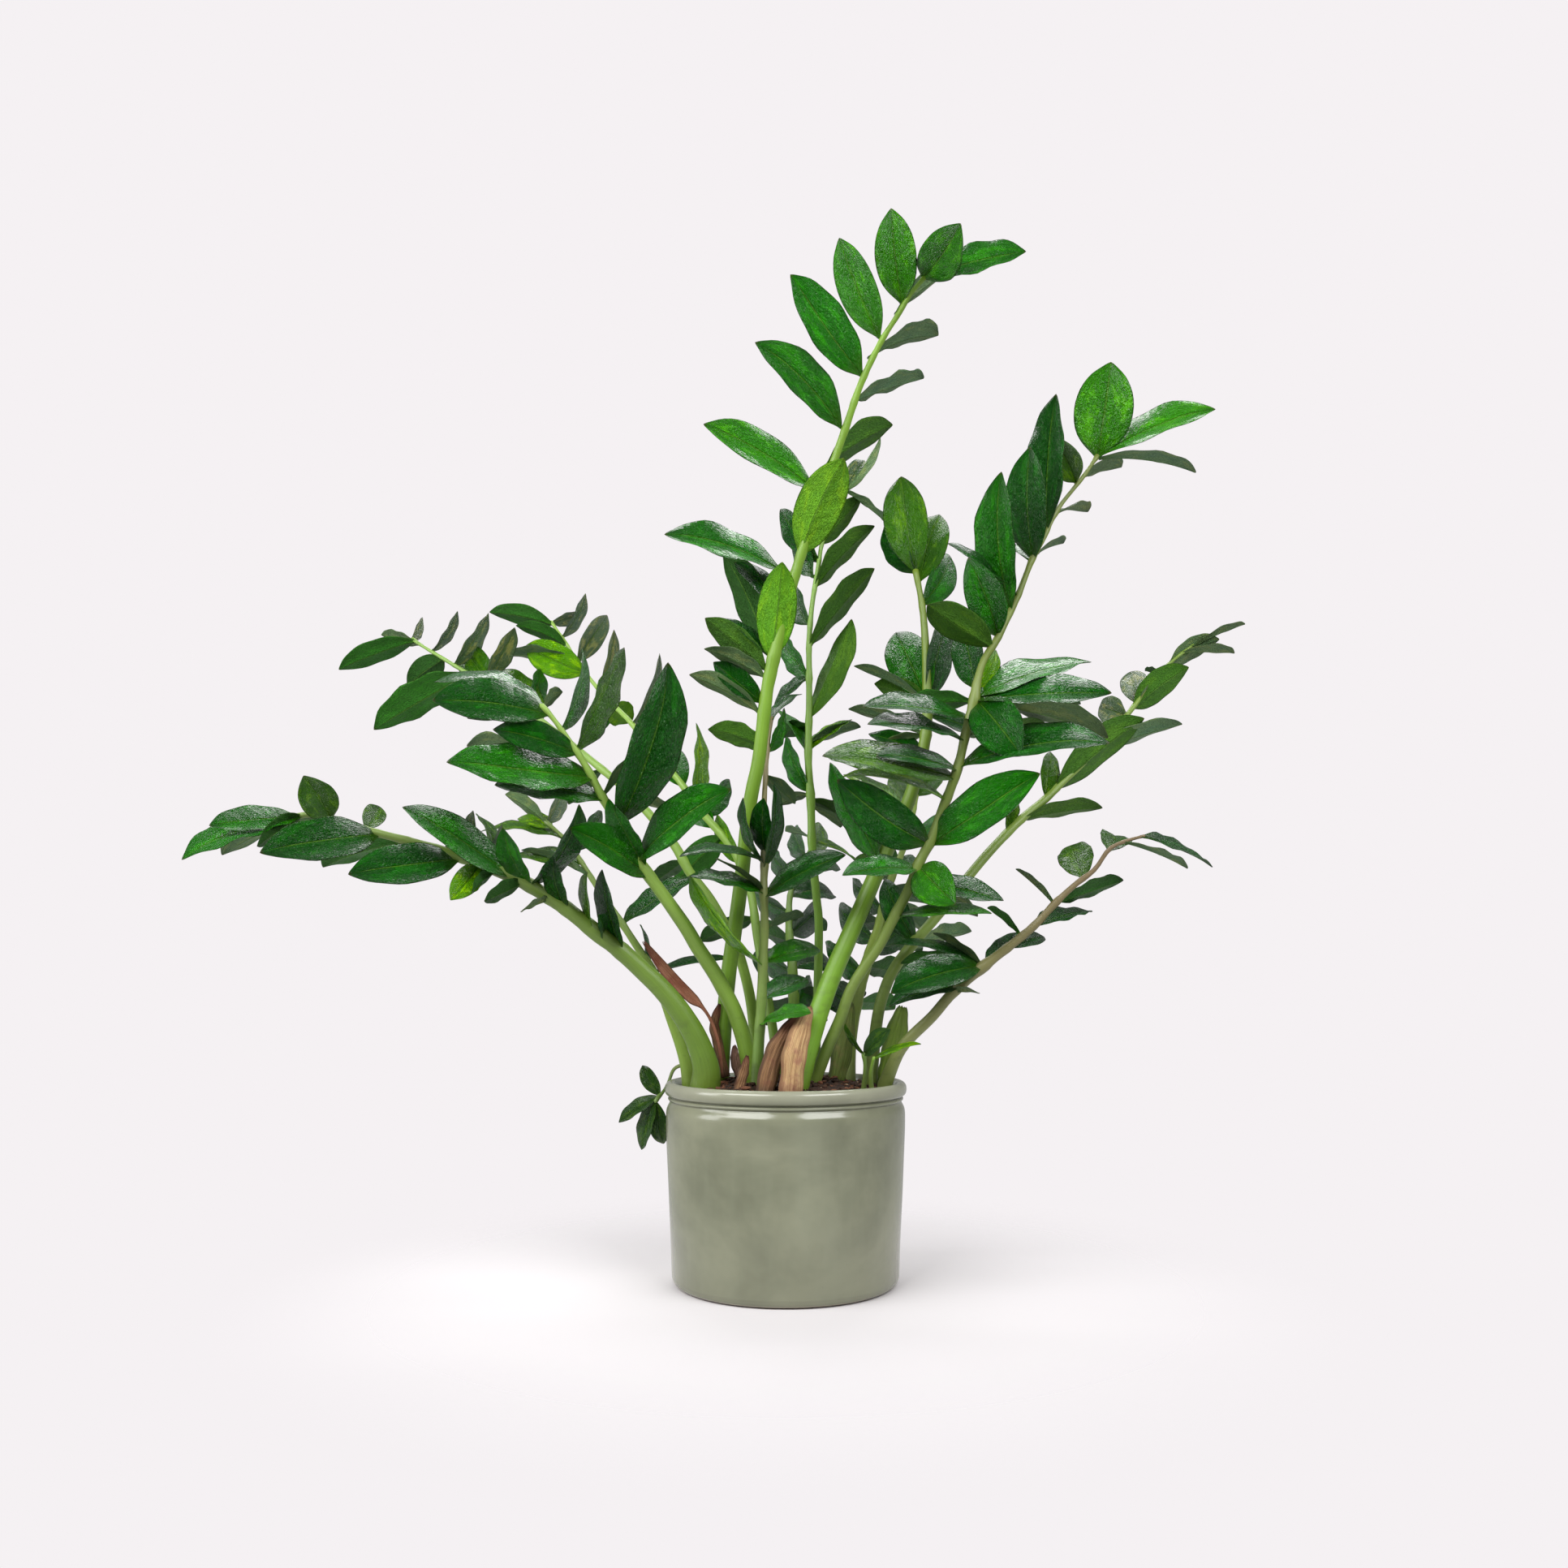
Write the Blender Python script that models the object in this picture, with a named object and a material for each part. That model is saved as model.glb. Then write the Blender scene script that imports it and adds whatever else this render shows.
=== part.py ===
"""Potted ZZ plant: arching pinnate fronds rising from the soil of a glazed pot.

Metres, +Z up. The origin is the centre of the pot's flat underside.
"""
import math

import bmesh
import bpy
from mathutils import Vector

# ---------------------------------------------------------------- driving dimensions
POT_RIM_DIAMETER = 0.220     # outside the rolled rim
POT_HEIGHT = 0.183
POT_FOOT_RADIUS = 0.1035
POT_SHOULDER_RADIUS = 0.1086
POT_INNER_RADIUS = 0.0985
POT_FLOOR = 0.0095           # thickness of the pot's floor
POT_SEGMENTS = 36
SOIL_EDGE_Z = 0.1725         # top of the soil at the wall
SOIL_CROWN_Z = 0.1860        # top of the soil at the crown of the plant
STEM_FOOT_Z = 0.1640         # how deep the petiole feet stand
GAP = 0.0003                 # clearance between touching pieces

EYE_DISTANCE = 1.2           # the drawing's eye, in front of the pot's axis
EYE_HEIGHT = 0.285
FOCAL = EYE_DISTANCE * 297 / POT_RIM_DIAMETER
AXIS_U = 968.0               # the pot's axis on the drawing
HORIZON_V = 1193.7           # the eye's height on the drawing
FOLD = 0.20                  # how far a blade's halves rise from its midrib

# ---------------------------------------------------------------- layout of the plant
# The plant is laid out on one front elevation drawn in perspective: the eye stands
# EYE_DISTANCE in front of the pot's axis at height EYE_HEIGHT, and one drawing unit is
# POT_RIM_DIAMETER / 297 on the plane through the axis. A point of the drawing plus its
# depth behind that plane (mm, negative towards the eye) gives the point in space.
#
# A frond: name, depth along the stem as (share of length, depth), radii of the petiole
# foot, the middle and the tip (mm), stem line on the drawing, and its leaflets. Each
# leaflet: foot and tip on the drawing, width as drawn, its attitude, and its real
# length in mm where it is foreshortened (positive: the tip lies behind the foot).
# Attitude, first letter: u, l, r show the upper face, which looks up, left or right;
# d, L, R show the underside, with the upper face looking up, left or right.
# Second letter, the colour of the blade: d dark, m middle, b bright, y lime, o olive, g grey.

FRONDS = [
 ("frond_tall_centre", [(0, 6), (0.3, -6), (0.62, -22), (1, -62)], (8.2, 5.9, 1.7),
  [(886, 1338), (890, 1284), (897, 1205), (906, 1140), (914, 1080), (921, 1011), (927, 973), (935, 935), (944, 858),
   (950, 826), (957, 795), (985, 690), (1020, 590), (1042, 527), (1061, 472), (1085, 422), (1107, 387), (1122, 362), (1140, 341)],
  [(938, 880, 850, 830, 20, "dg"), (939, 866, 879, 815, 30, "ud"), (942, 834, 868, 798, 22, "dg"), (944, 825, 869, 761, 34, "do"),
   (946, 806, 893, 760, 13, "ud"), (948, 808, 893, 680, 46, "dd", 96), (962, 752, 906, 690, 24, "ud"), (950, 814, 964, 692, 48, "Ly", -95),
   (962, 702, 821, 652, 32, "um", -114), (986, 684, 1040, 564, 56, "Rb", -104), (1003, 602, 869, 519, 38, "ub", -122),
   (1018, 573, 1098, 522, 30, "do", 84), (1036, 526, 935, 418, 44, "um", -116), (1050, 494, 1138, 465, 19, "dg", 92),
   (1061, 462, 976, 337, 50, "um", -118), (1070, 440, 1155, 411, 19, "dg", 90), (1083, 415, 1034, 293, 46, "lb", -100),
   (1103, 386, 1190, 322, 21, "dg", 92), (1111, 373, 1098, 257, 50, "lb", -92), (1137, 342, 1182, 278, 52, "rb", -82),
   (1141, 341, 1264, 309, 32, "um", -100)]),
 ("frond_slim_behind", [(0, 58), (0.4, 62), (1, 96)], (4.6, 3.6, 1.4),
  [(1004, 1338), (1009, 1156), (1006, 1105), (1001, 1050), (999, 983), (996, 935), (997, 877), (997, 830), (997, 790),
   (1000, 751), (1004, 724), (1009, 694), (1013, 669), (1026, 632), (1042, 604)],
  [(999, 1032, 968, 1023, 7, "dg", 62), (999, 1036, 1055, 1057, 9, "uy", 66), (999, 984, 1036, 1006, 18, "do", 60),
   (998, 992, 1036, 1019, 11, "dg", 64), (997, 975, 966, 908, 22, "lm", 66), (997, 978, 958, 992, 15, "dg", 56),
   (996, 930, 952, 868, 15, "ub", 70), (996, 914, 1060, 895, 16, "dg", 70), (997, 924, 1048, 884, 14, "uy", 66),
   (995, 892, 953, 908, 22, "dd", 60), (996, 885, 1050, 763, 30, "Ro", 100), (994, 836, 953, 868, 14, "ud", 58),
   (996, 833, 960, 786, 25, "lm", 66), (997, 797, 1077, 700, 27, "do", 102), (997, 769, 975, 718, 26, "ld", 66),
   (1004, 724, 1076, 647, 26, "do", 86), (1001, 710, 980, 660, 28, "ld", 62), (1009, 692, 959, 628, 30, "ld", 70),
   (1013, 670, 1062, 612, 26, "do", 62), (1026, 634, 1014, 582, 20, "lo", 48), (1042, 604, 1113, 662, 9, "dg", 70),
   (1042, 604, 1066, 566, 24, "rg", 40), (1042, 606, 1086, 540, 10, "Rg", 58)]),
 ("frond_stout_right", [(0, -54), (0.25, -38), (0.55, -6), (1, 34)], (11.0, 7.1, 2.4),
  [(980, 1340), (992, 1300), (1002, 1268), (1010, 1243), (1025, 1202), (1045, 1156), (1065, 1110), (1078, 1080), (1098, 1035),
   (1120, 985), (1136, 930), (1142, 890), (1142, 850), (1140, 790), (1136, 745), (1128, 703)],
  [(1085, 1064, 1020, 940, 34, "lm", 104), (1112, 1004, 1040, 952, 16, "uy", 78), (1130, 952, 1015, 925, 38, "uo", 98),
   (1137, 928, 1070, 903, 22, "ud", 62), (1140, 905, 1086, 924, 15, "dg", 52), (1139, 905, 1046, 872, 15, "dg", 82),
   (1142, 866, 1053, 819, 11, "dg", 80), (1142, 864, 1078, 842, 30, "do", 62), (1142, 862, 1103, 777, 58, "lm", 86),
   (1142, 858, 1168, 764, 34, "rd", 84), (1142, 880, 1214, 905, 24, "rd", 70), (1136, 745, 1173, 682, 36, "rm", 66),
   (1132, 716, 1158, 632, 46, "ro", 74), (1129, 706, 1088, 645, 30, "ld", 62), (1128, 704, 1110, 585, 54, "ro", 92)]),
 ("frond_tall_right", [(0, -32), (0.16, -46), (0.5, -66), (1, -34)], (5.8, 4.1, 1.5),
  [(1000, 1340), (1020, 1290), (1035, 1256), (1048, 1220), (1066, 1190), (1084, 1164), (1101, 1131), (1122, 1092), (1132, 1064),
   (1148, 1033), (1161, 998), (1172, 970), (1182, 939), (1193, 889), (1200, 864), (1204, 840), (1212, 814), (1226, 792), (1234, 777),
   (1246, 752), (1256, 730), (1265, 706), (1274, 684), (1286, 663), (1295, 642), (1307, 622), (1322, 603), (1337, 584), (1352, 562)],
  [(1107, 1128, 1222, 1124, 16, "ub", -90), (1120, 1097, 1205, 1128, 18, "dg", 74), (1126, 1086, 1237, 1109, 30, "ud", -84),
   (1132, 1068, 1175, 1112, 52, "rb", -60), (1130, 1070, 1039, 1075, 26, "um", -76), (1148, 1040, 1278, 950, 54, "um", -120),
   (1144, 1040, 1033, 962, 56, "ud", -104), (1166, 985, 1040, 950, 15, "uy", -98), (1176, 958, 1015, 927, 38, "uo", -124),
   (1182, 944, 1366, 908, 36, "ud", -140), (1180, 948, 1082, 926, 20, "ud", -78), (1188, 912, 1070, 888, 16, "ud", -92),
   (1190, 905, 1292, 896, 22, "do", 84), (1194, 886, 1064, 868, 22, "ud", -100), (1200, 864, 1109, 871, 25, "dm", 74),
   (1202, 862, 1370, 853, 30, "ud", -124), (1202, 858, 1345, 812, 32, "um", 112), (1203, 862, 1258, 930, 60, "rd", -74),
   (1202, 866, 1366, 906, 26, "dg", 124), (1200, 872, 1331, 864, 18, "dg", 108), (1202, 848, 1184, 770, 40, "ld", 70),
   (1204, 846, 1229, 801, 24, "ry", 48), (1222, 797, 1142, 744, 42, "do", -84), (1229, 783, 1194, 690, 46, "lm", -86),
   (1245, 752, 1229, 582, 48, "lm", -128), (1254, 733, 1169, 668, 8, "ud", -84), (1273, 689, 1268, 551, 50, "ld", -108),
   (1272, 692, 1210, 657, 8, "um", 60), (1278, 681, 1310, 668, 8, "dg", 70), (1289, 652, 1299, 485, 46, "ld", -126),
   (1300, 634, 1250, 626, 8, "um", 62), (1302, 632, 1340, 628, 8, "dg", 72), (1326, 594, 1298, 540, 34, "lo", -58),
   (1336, 586, 1381, 574, 18, "dg", 64), (1352, 563, 1369, 446, 70, "rb", -92), (1353, 562, 1496, 497, 30, "ub", -118),
   (1353, 564, 1474, 579, 13, "dg", 96)]),
 ("frond_right", [(0, 14), (0.3, 22), (0.65, 90), (1, 176)], (6.2, 4.3, 1.3),
  [(1072, 1336), (1080, 1262), (1088, 1226), (1101, 1195), (1124, 1164), (1157, 1126), (1200, 1072), (1228, 1040), (1260, 1008),
   (1290, 983), (1306, 967), (1350, 925), (1388, 882), (1410, 852), (1430, 828), (1452, 808), (1470, 795)],
  [(1128, 1160, 1088, 1082, 34, "ld", 70), (1120, 1168, 1196, 1146, 20, "dg", 80), (1166, 1116, 1128, 1076, 24, "lm", 52),
   (1241, 1026, 1249, 962, 18, "ro", 52), (1258, 1010, 1358, 994, 19, "do", 84), (1289, 984, 1296, 925, 24, "ro", 52),
   (1302, 972, 1408, 884, 40, "do", 112), (1341, 932, 1340, 896, 26, "lg", 52), (1352, 924, 1456, 891, 22, "dg", 92),
   (1388, 882, 1352, 872, 34, "lg", 44), (1400, 866, 1392, 826, 34, "lg", 46), (1396, 872, 1464, 822, 36, "do", 74),
   (1430, 828, 1411, 826, 9, "dd", 36), (1441, 817, 1501, 787, 26, "dg", 62), (1456, 804, 1521, 804, 12, "dg", 60),
   (1470, 796, 1534, 768, 8, "dg", 62)]),
 ("frond_low_right", [(0, -14), (0.3, -34), (1, -70)], (6.2, 4.4, 1.1),
  [(1090, 1336), (1106, 1299), (1122, 1278), (1148, 1253), (1173, 1224), (1199, 1201), (1224, 1181), (1250, 1161), (1275, 1140),
   (1301, 1112), (1326, 1089), (1349, 1071), (1367, 1046), (1388, 1036), (1410, 1030)],
  [(1176, 1222, 1207, 1223, 7, "dg", -40), (1182, 1216, 1096, 1236, 22, "ud", -70), (1209, 1190, 1099, 1220, 44, "ud", -92),
   (1203, 1196, 1110, 1186, 26, "dm", 78), (1208, 1190, 1087, 1160, 14, "ud", 96), (1210, 1188, 1150, 1149, 11, "dg", 62),
   (1216, 1186, 1258, 1146, 18, "ld", 54), (1240, 1168, 1287, 1152, 22, "ud", 48), (1258, 1152, 1217, 1118, 10, "dm", 52),
   (1276, 1140, 1346, 1120, 20, "ud", 66), (1300, 1114, 1252, 1070, 9, "dg", 58), (1301, 1112, 1384, 1084, 18, "dd", 72),
   (1335, 1082, 1320, 1038, 44, "ro", 52), (1366, 1048, 1374, 1026, 40, "lo", 46), (1386, 1037, 1464, 1069, 7, "dg", 66),
   (1409, 1030, 1496, 1066, 13, "ud", 74)]),
 ("frond_far_left", [(0, 52), (0.3, 70), (1, 196)], (5.4, 4.2, 1.3),
  [(934, 1326), (926, 1240), (912, 1180), (897, 1147), (875, 1108), (850, 1075), (830, 1040), (797, 1000), (770, 972), (732, 940),
   (680, 898), (620, 855), (580, 832), (547, 812), (519, 795), (508, 787)],
  [(842, 1060, 800, 1090, 22, "dd", 60), (775, 978, 826, 1000, 16, "dg", 60), (740, 948, 700, 990, 22, "dd", 64),
   (668, 889, 612, 822, 40, "ro", 84), (655, 880, 668, 824, 22, "rm", 60), (640, 868, 576, 884, 26, "dd", 66),
   (604, 846, 569, 796, 40, "lo", 66), (598, 842, 636, 774, 22, "rg", 66), (577, 830, 460, 897, 42, "dm", 116),
   (560, 820, 604, 756, 20, "rg", 68), (547, 812, 502, 845, 34, "dd", 62), (532, 803, 566, 754, 12, "rg", 50),
   (511, 789, 417, 824, 28, "dm", 84), (508, 787, 522, 762, 12, "rg", 40), (516, 793, 470, 782, 14, "dg", 50)]),
 ("frond_left", [(0, -12), (0.2, -24), (0.5, -66), (1, -108)], (8.8, 6.2, 1.6),
  [(931, 1338), (923, 1306), (916, 1278), (905, 1246), (888, 1212), (876, 1192), (860, 1168), (846, 1144), (828, 1118), (812, 1096),
   (796, 1074), (780, 1052), (766, 1025), (754, 1002), (741, 980), (728, 955), (715, 933), (700, 911), (682, 886), (667, 869)],
  [(800, 1080, 703, 1020, 42, "um", -96), (794, 1070, 748, 986, 30, "lm", -76), (786, 1058, 893, 968, 42, "um", -118),
   (762, 1016, 831, 822, 62, "rd", -156), (744, 985, 610, 965, 34, "um", -104), (742, 980, 843, 897, 20, "dg", 98),
   (730, 958, 552, 934, 50, "um", -140), (726, 952, 576, 917, 26, "dg", 118), (712, 928, 609, 897, 38, "ud", -84),
   (711, 924, 771, 798, 32, "ro", 104), (692, 900, 723, 800, 20, "rm", 80), (676, 880, 533, 862, 48, "ud", -112),
   (668, 871, 535, 832, 26, "ud", 102), (672, 874, 620, 888, 16, "dg", 46), (669, 872, 692, 852, 14, "dg", 42)]),
 ("frond_low_left", [(0, -30), (0.25, -50), (0.6, -84), (1, -118)], (12.6, 6.6, 1.6),
  [(868, 1342), (870, 1318), (862, 1290), (848, 1262), (830, 1236), (810, 1213), (794, 1198), (779, 1184), (757, 1165), (736, 1150),
   (715, 1133), (693, 1116), (672, 1103), (651, 1090), (629, 1079), (591, 1064), (565, 1056), (533, 1045), (494, 1034), (445, 1021),
   (407, 1008), (380, 1004), (366, 1006)],
  [(766, 1172, 740, 1072, 24, "ld", -80), (742, 1154, 738, 1128, 12, "rd", -44), (728, 1143, 720, 1076, 12, "lo", -62),
   (697, 1119, 680, 1056, 24, "ld", -60), (676, 1108, 642, 1122, 8, "dg", -46), (655, 1092, 718, 996, 27, "rd", -92),
   (654, 1092, 618, 1022, 26, "lm", -66), (645, 1087, 596, 1110, 20, "dd", -54), (630, 1079, 498, 992, 42, "um", -122),
   (625, 1078, 590, 1000, 18, "ro", 70), (612, 1072, 580, 1098, 14, "dm", -46), (592, 1065, 556, 1108, 32, "ly", -52),
   (596, 1066, 621, 1014, 17, "rg", 52), (566, 1058, 430, 1074, 48, "ud", -108), (545, 1050, 588, 1000, 23, "rg", 60),
   (536, 1047, 476, 1066, 38, "dg", 60), (500, 1036, 398, 1067, 36, "dm", 90), (466, 1028, 322, 1046, 50, "ud", -118),
   (450, 1022, 468, 992, 28, "ro", 44), (444, 1021, 402, 1032, 18, "dg", 46), (408, 1009, 375, 957, 44, "lo", -56),
   (392, 1005, 273, 1050, 26, "dg", 100), (372, 1005, 315, 1042, 22, "dd", -62), (370, 1006, 222, 1053, 30, "um", -118),
   (366, 1006, 258, 1015, 30, "um", -88)]),
 ("frond_thin_left", [(0, -2), (0.4, 2), (1, 34)], (6.4, 3.6, 1.3),
  [(850, 1338), (846, 1314), (838, 1286), (828, 1258), (816, 1224), (804, 1196), (788, 1171), (764, 1134), (740, 1100), (724, 1074),
   (700, 1038), (672, 1012)],
  [(805, 1198, 906, 1179, 10, "ud", 82), (798, 1188, 791, 1138, 8, "rm", 44), (767, 1138, 852, 1078, 24, "ud", 84),
   (728, 1080, 643, 1046, 12, "dg", 72), (716, 1064, 632, 1052, 22, "uo", 70), (706, 1048, 744, 1000, 22, "rd", 60),
   (694, 1032, 592, 1020, 14, "uo", 80), (680, 1020, 640, 1004, 22, "uy", 52), (674, 1014, 700, 968, 20, "rg", 56),
   (672, 1012, 624, 978, 18, "dg", 60)]),
 ("frond_slim_centre", [(0, -40), (0.35, -38), (0.62, -29), (0.82, 2), (1, 16)], (6.0, 3.6, 1.5),
  [(933, 1342), (934, 1297), (938, 1240), (940, 1187), (942, 1140), (941, 1093), (942, 1060), (941, 1010), (943, 960), (946, 920), (951, 884)],
  [(936, 1262, 998, 1246, 16, "ub", -64), (938, 1232, 996, 1204, 26, "um", 66), (940, 1190, 846, 1082, 17, "ly", -112),
   (941, 1186, 1012, 1166, 28, "ub", 66), (941, 1145, 990, 1128, 12, "dg", 58), (942, 1100, 850, 1077, 17, "um", -78),
   (942, 1104, 1040, 1051, 30, "ud", -90), (941, 1098, 882, 1056, 7, "dg", -62), (942, 1060, 838, 1050, 11, "ud", -84),
   (942, 1066, 912, 984, 11, "ld", -66), (942, 1070, 957, 965, 18, "rd", -82), (942, 1052, 940, 984, 26, "ld", -58),
   (944, 955, 980, 990, 20, "dg", 50), (946, 922, 873, 898, 28, "do", 62), (947, 926, 968, 872, 16, "rm", 50),
   (951, 886, 986, 852, 12, "ud", 50)]),
 ("frond_back_left", [(0, 70), (0.3, 96), (1, 214)], (5.0, 3.8, 1.3),
  [(960, 1322), (948, 1240), (934, 1160), (925, 1100), (908, 1056), (892, 1032), (864, 1000), (835, 960), (800, 922), (777, 890),
   (745, 858), (716, 822), (699, 795), (679, 766)],
  [(930, 1130, 862, 1160, 24, "dd", 70), (912, 1064, 880, 1004, 22, "ly", 60), (890, 1030, 831, 1088, 38, "dm", 78),
   (880, 1020, 845, 985, 30, "lm", 56), (868, 1006, 900, 960, 24, "rm", 56), (856, 990, 861, 890, 20, "ry", 84),
   (842, 970, 824, 922, 36, "lm", 54), (826, 950, 780, 960, 26, "dm", 60), (812, 934, 832, 908, 18, "ry", 36),
   (779, 893, 816, 806, 14, "rg", 82), (757, 870, 778, 890, 36, "dy", 44), (750, 864, 730, 906, 24, "dm", 50),
   (738, 850, 758, 776, 14, "rg", 66), (722, 830, 646, 795, 42, "uy", 72), (712, 818, 622, 806, 16, "dg", 80),
   (711, 815, 750, 758, 26, "rg", 62), (698, 795, 636, 770, 19, "dm", 56), (692, 786, 724, 732, 14, "rg", 56),
   (681, 769, 603, 754, 26, "dm", 70), (680, 767, 714, 759, 16, "rg", 42)]),
 ("frond_back_centre", [(0, 38), (0.35, 82), (1, 236)], (6.2, 4.4, 1.4),
  [(974, 1330), (978, 1250), (976, 1190), (972, 1140), (974, 1100), (984, 1068), (998, 1048)],
  [(978, 1240, 1002, 1208, 26, "rm", 70), (977, 1228, 944, 1262, 26, "dd", 76), (977, 1200, 930, 1168, 28, "ld", 84),
   (976, 1192, 1034, 1188, 30, "ud", 84), (974, 1160, 930, 1146, 28, "dd", 86), (973, 1150, 1012, 1112, 30, "rd", 86),
   (972, 1124, 924, 1098, 26, "ld", 84), (974, 1104, 1030, 1100, 30, "ud", 84), (978, 1086, 948, 1052, 24, "ld", 78),
   (984, 1070, 1036, 1066, 26, "ud", 78), (992, 1056, 976, 1020, 24, "ld", 70), (998, 1048, 1014, 1016, 26, "ro", 66), (978, 1262, 1018, 1256, 30, "dd", 84), (976, 1222, 1010, 1238, 24, "dd", 62), (974, 1132, 1018, 1146, 26, "dd", 84), (972, 1170, 934, 1196, 28, "dd", 84)]),
 ("frond_back_right", [(0, 44), (0.35, 84), (1, 210)], (7.2, 5.0, 1.5),
  [(1044, 1332), (1048, 1276), (1058, 1222), (1070, 1180), (1082, 1146), (1090, 1112), (1098, 1084), (1110, 1054), (1122, 1020), (1130, 980)],
  [(1054, 1240, 1008, 1206, 30, "ld", 84), (1056, 1234, 1102, 1242, 26, "dm", 80), (1064, 1200, 1014, 1166, 32, "lm", 86),
   (1068, 1190, 1122, 1206, 32, "dd", 86), (1078, 1158, 1030, 1118, 30, "ld", 86), (1080, 1152, 1136, 1170, 34, "dd", 86),
   (1088, 1120, 1048, 1086, 26, "ld", 80), (1092, 1108, 1146, 1150, 26, "dg", 86), (1100, 1080, 1052, 1066, 24, "do", 80),
   (1104, 1070, 1150, 1086, 24, "ud", 80), (1114, 1044, 1082, 996, 34, "lm", 80), (1118, 1034, 1166, 1004, 28, "rm", 78),
   (1128, 996, 1096, 952, 30, "lo", 72), (1130, 980, 1160, 934, 30, "ro", 70), (1060, 1218, 1020, 1232, 30, "dd", 84), (1074, 1172, 1118, 1136, 30, "rd", 84), (1084, 1134, 1040, 1146, 28, "dd", 84), (1096, 1094, 1140, 1112, 28, "dd", 84), (1108, 1060, 1066, 1036, 28, "dd", 80)]),
 ("sprig_over_rim", [(0, 22), (0.35, 36), (0.6, 40), (1, 24)], (1.9, 1.7, 1.2),
  [(862, 1332), (850, 1318), (840, 1313), (830, 1318), (824, 1333), (818, 1344), (812, 1351), (808, 1357)],
  [(813, 1350, 791, 1312, 20, "lm", 36), (812, 1351, 761, 1382, 17, "um", 46), (808, 1357, 789, 1417, 20, "lm", 50),
   (808, 1357, 818, 1411, 24, "rm", 44)]),
 ("shoot_right_a", [(0, -36), (1, -46)], (2.3, 1.9, 1.2),
  [(1064, 1342), (1066, 1316), (1064, 1298)], [(1064, 1300, 1096, 1268, 21, "ug", -44), (1064, 1300, 1040, 1262, 7, "lo", -34)]),
 ("shoot_right_b", [(0, -44), (1, -58)], (2.2, 1.8, 1.1),
  [(1074, 1343), (1073, 1322), (1077, 1303)], [(1077, 1304, 1134, 1284, 9, "uy", -46)]),
]

# Dry sheath leaves round the petiole feet: name, depth of foot and tip, half widths of the
# sheet along it as (share, mm), its line on the drawing, how hollow it is, and its colour.
SHEATHS = [
 ("sheath_front_wide", -82, -72, [(0, 10.0), (0.35, 10.6), (0.65, 8.2), (0.88, 4.4), (1, 1.4)], [(974, 1346), (979, 1300), (989, 1264), (999, 1240)], 0.45, "tan"),
 ("sheath_front_left", -70, -62, [(0, 8.0), (0.35, 8.8), (0.75, 5.4), (1, 1.2)], [(942, 1346), (953, 1302), (968, 1272), (983, 1250)], 0.5, "brown"),
 ("sheath_stout_left", -16, -17, [(0, 1.6), (0.3, 1.6), (0.5, 1.8), (0.62, 4.8), (0.8, 5.6), (1, 1.6)],
  [(889, 1322), (886, 1290), (878, 1262), (866, 1242), (848, 1226), (820, 1196), (793, 1160)], 0.3, "salmon"),
 ("sheath_left_small", -58, -52, [(0, 4.2), (0.5, 4.6), (1, 1.3)], [(909, 1345), (916, 1322), (921, 1300)], 0.4, "brown"),
 ("sheath_back_left", -8, -8, [(0, 3.8), (0.4, 4.6), (0.75, 4.0), (1, 1.2)], [(893, 1322), (884, 1284), (880, 1262), (887, 1236)], 0.4, "brown"),
 ("sheath_back_mid", 2, 0, [(0, 4.0), (0.5, 4.6), (1, 1.3)], [(911, 1326), (906, 1306), (905, 1288)], 0.4, "pink"),
 ("sheath_right_green", 4, -6, [(0, 6.5), (0.4, 9.5), (0.75, 8.5), (1, 3.0)], [(1090, 1332), (1102, 1285), (1113, 1240)], 0.45, "green"),
 ("sheath_mid_green", 2, 6, [(0, 7.0), (0.4, 9.5), (0.75, 6.0), (1, 1.5)], [(1030, 1334), (1040, 1285), (1050, 1236)], 0.45, "olive"),
]


def lerp(a, b, t):
    return a + (b - a) * t


def eased(knots, t):
    """Smooth curve through (position, value) knots, read at t."""
    if t <= knots[0][0]:
        return knots[0][1]
    if t >= knots[-1][0]:
        return knots[-1][1]
    n = len(knots)
    slopes = []
    for i in range(n):
        a, b = knots[max(i - 1, 0)], knots[min(i + 1, n - 1)]
        slopes.append((b[1] - a[1]) / (b[0] - a[0]))
    for i in range(n - 1):
        (x0, y0), (x1, y1) = knots[i], knots[i + 1]
        if t <= x1:
            h = x1 - x0
            s = (t - x0) / h
            return ((2 * s**3 - 3 * s**2 + 1) * y0 + (s**3 - 2 * s**2 + s) * h * slopes[i]
                    + (3 * s**2 - 2 * s**3) * y1 + (s**3 - s**2) * h * slopes[i + 1])
    return knots[-1][1]


def drawn(u, v, depth):
    """A point of the front elevation, with its depth in mm, in space."""
    y = depth * 0.001
    s = (EYE_DISTANCE + y) / FOCAL
    return Vector(((u - AXIS_U) * s, y, EYE_HEIGHT + (HORIZON_V - v) * s))


def rounded_line(points, per_span):
    """Catmull-Rom line through drawn points."""
    out = []
    n = len(points)
    for i in range(n - 1):
        p0, p1, p2, p3 = points[max(i - 1, 0)], points[i], points[i + 1], points[min(i + 2, n - 1)]
        for k in range(per_span):
            t = k / per_span
            out.append(tuple(
                0.5 * (2 * b + (c - a) * t + (2 * a - 5 * b + 4 * c - d) * t * t + (3 * b - a - 3 * c + d) * t**3)
                for a, b, c, d in zip(p0, p1, p2, p3)))
    out.append(tuple(float(c) for c in points[-1]))
    return out


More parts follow.
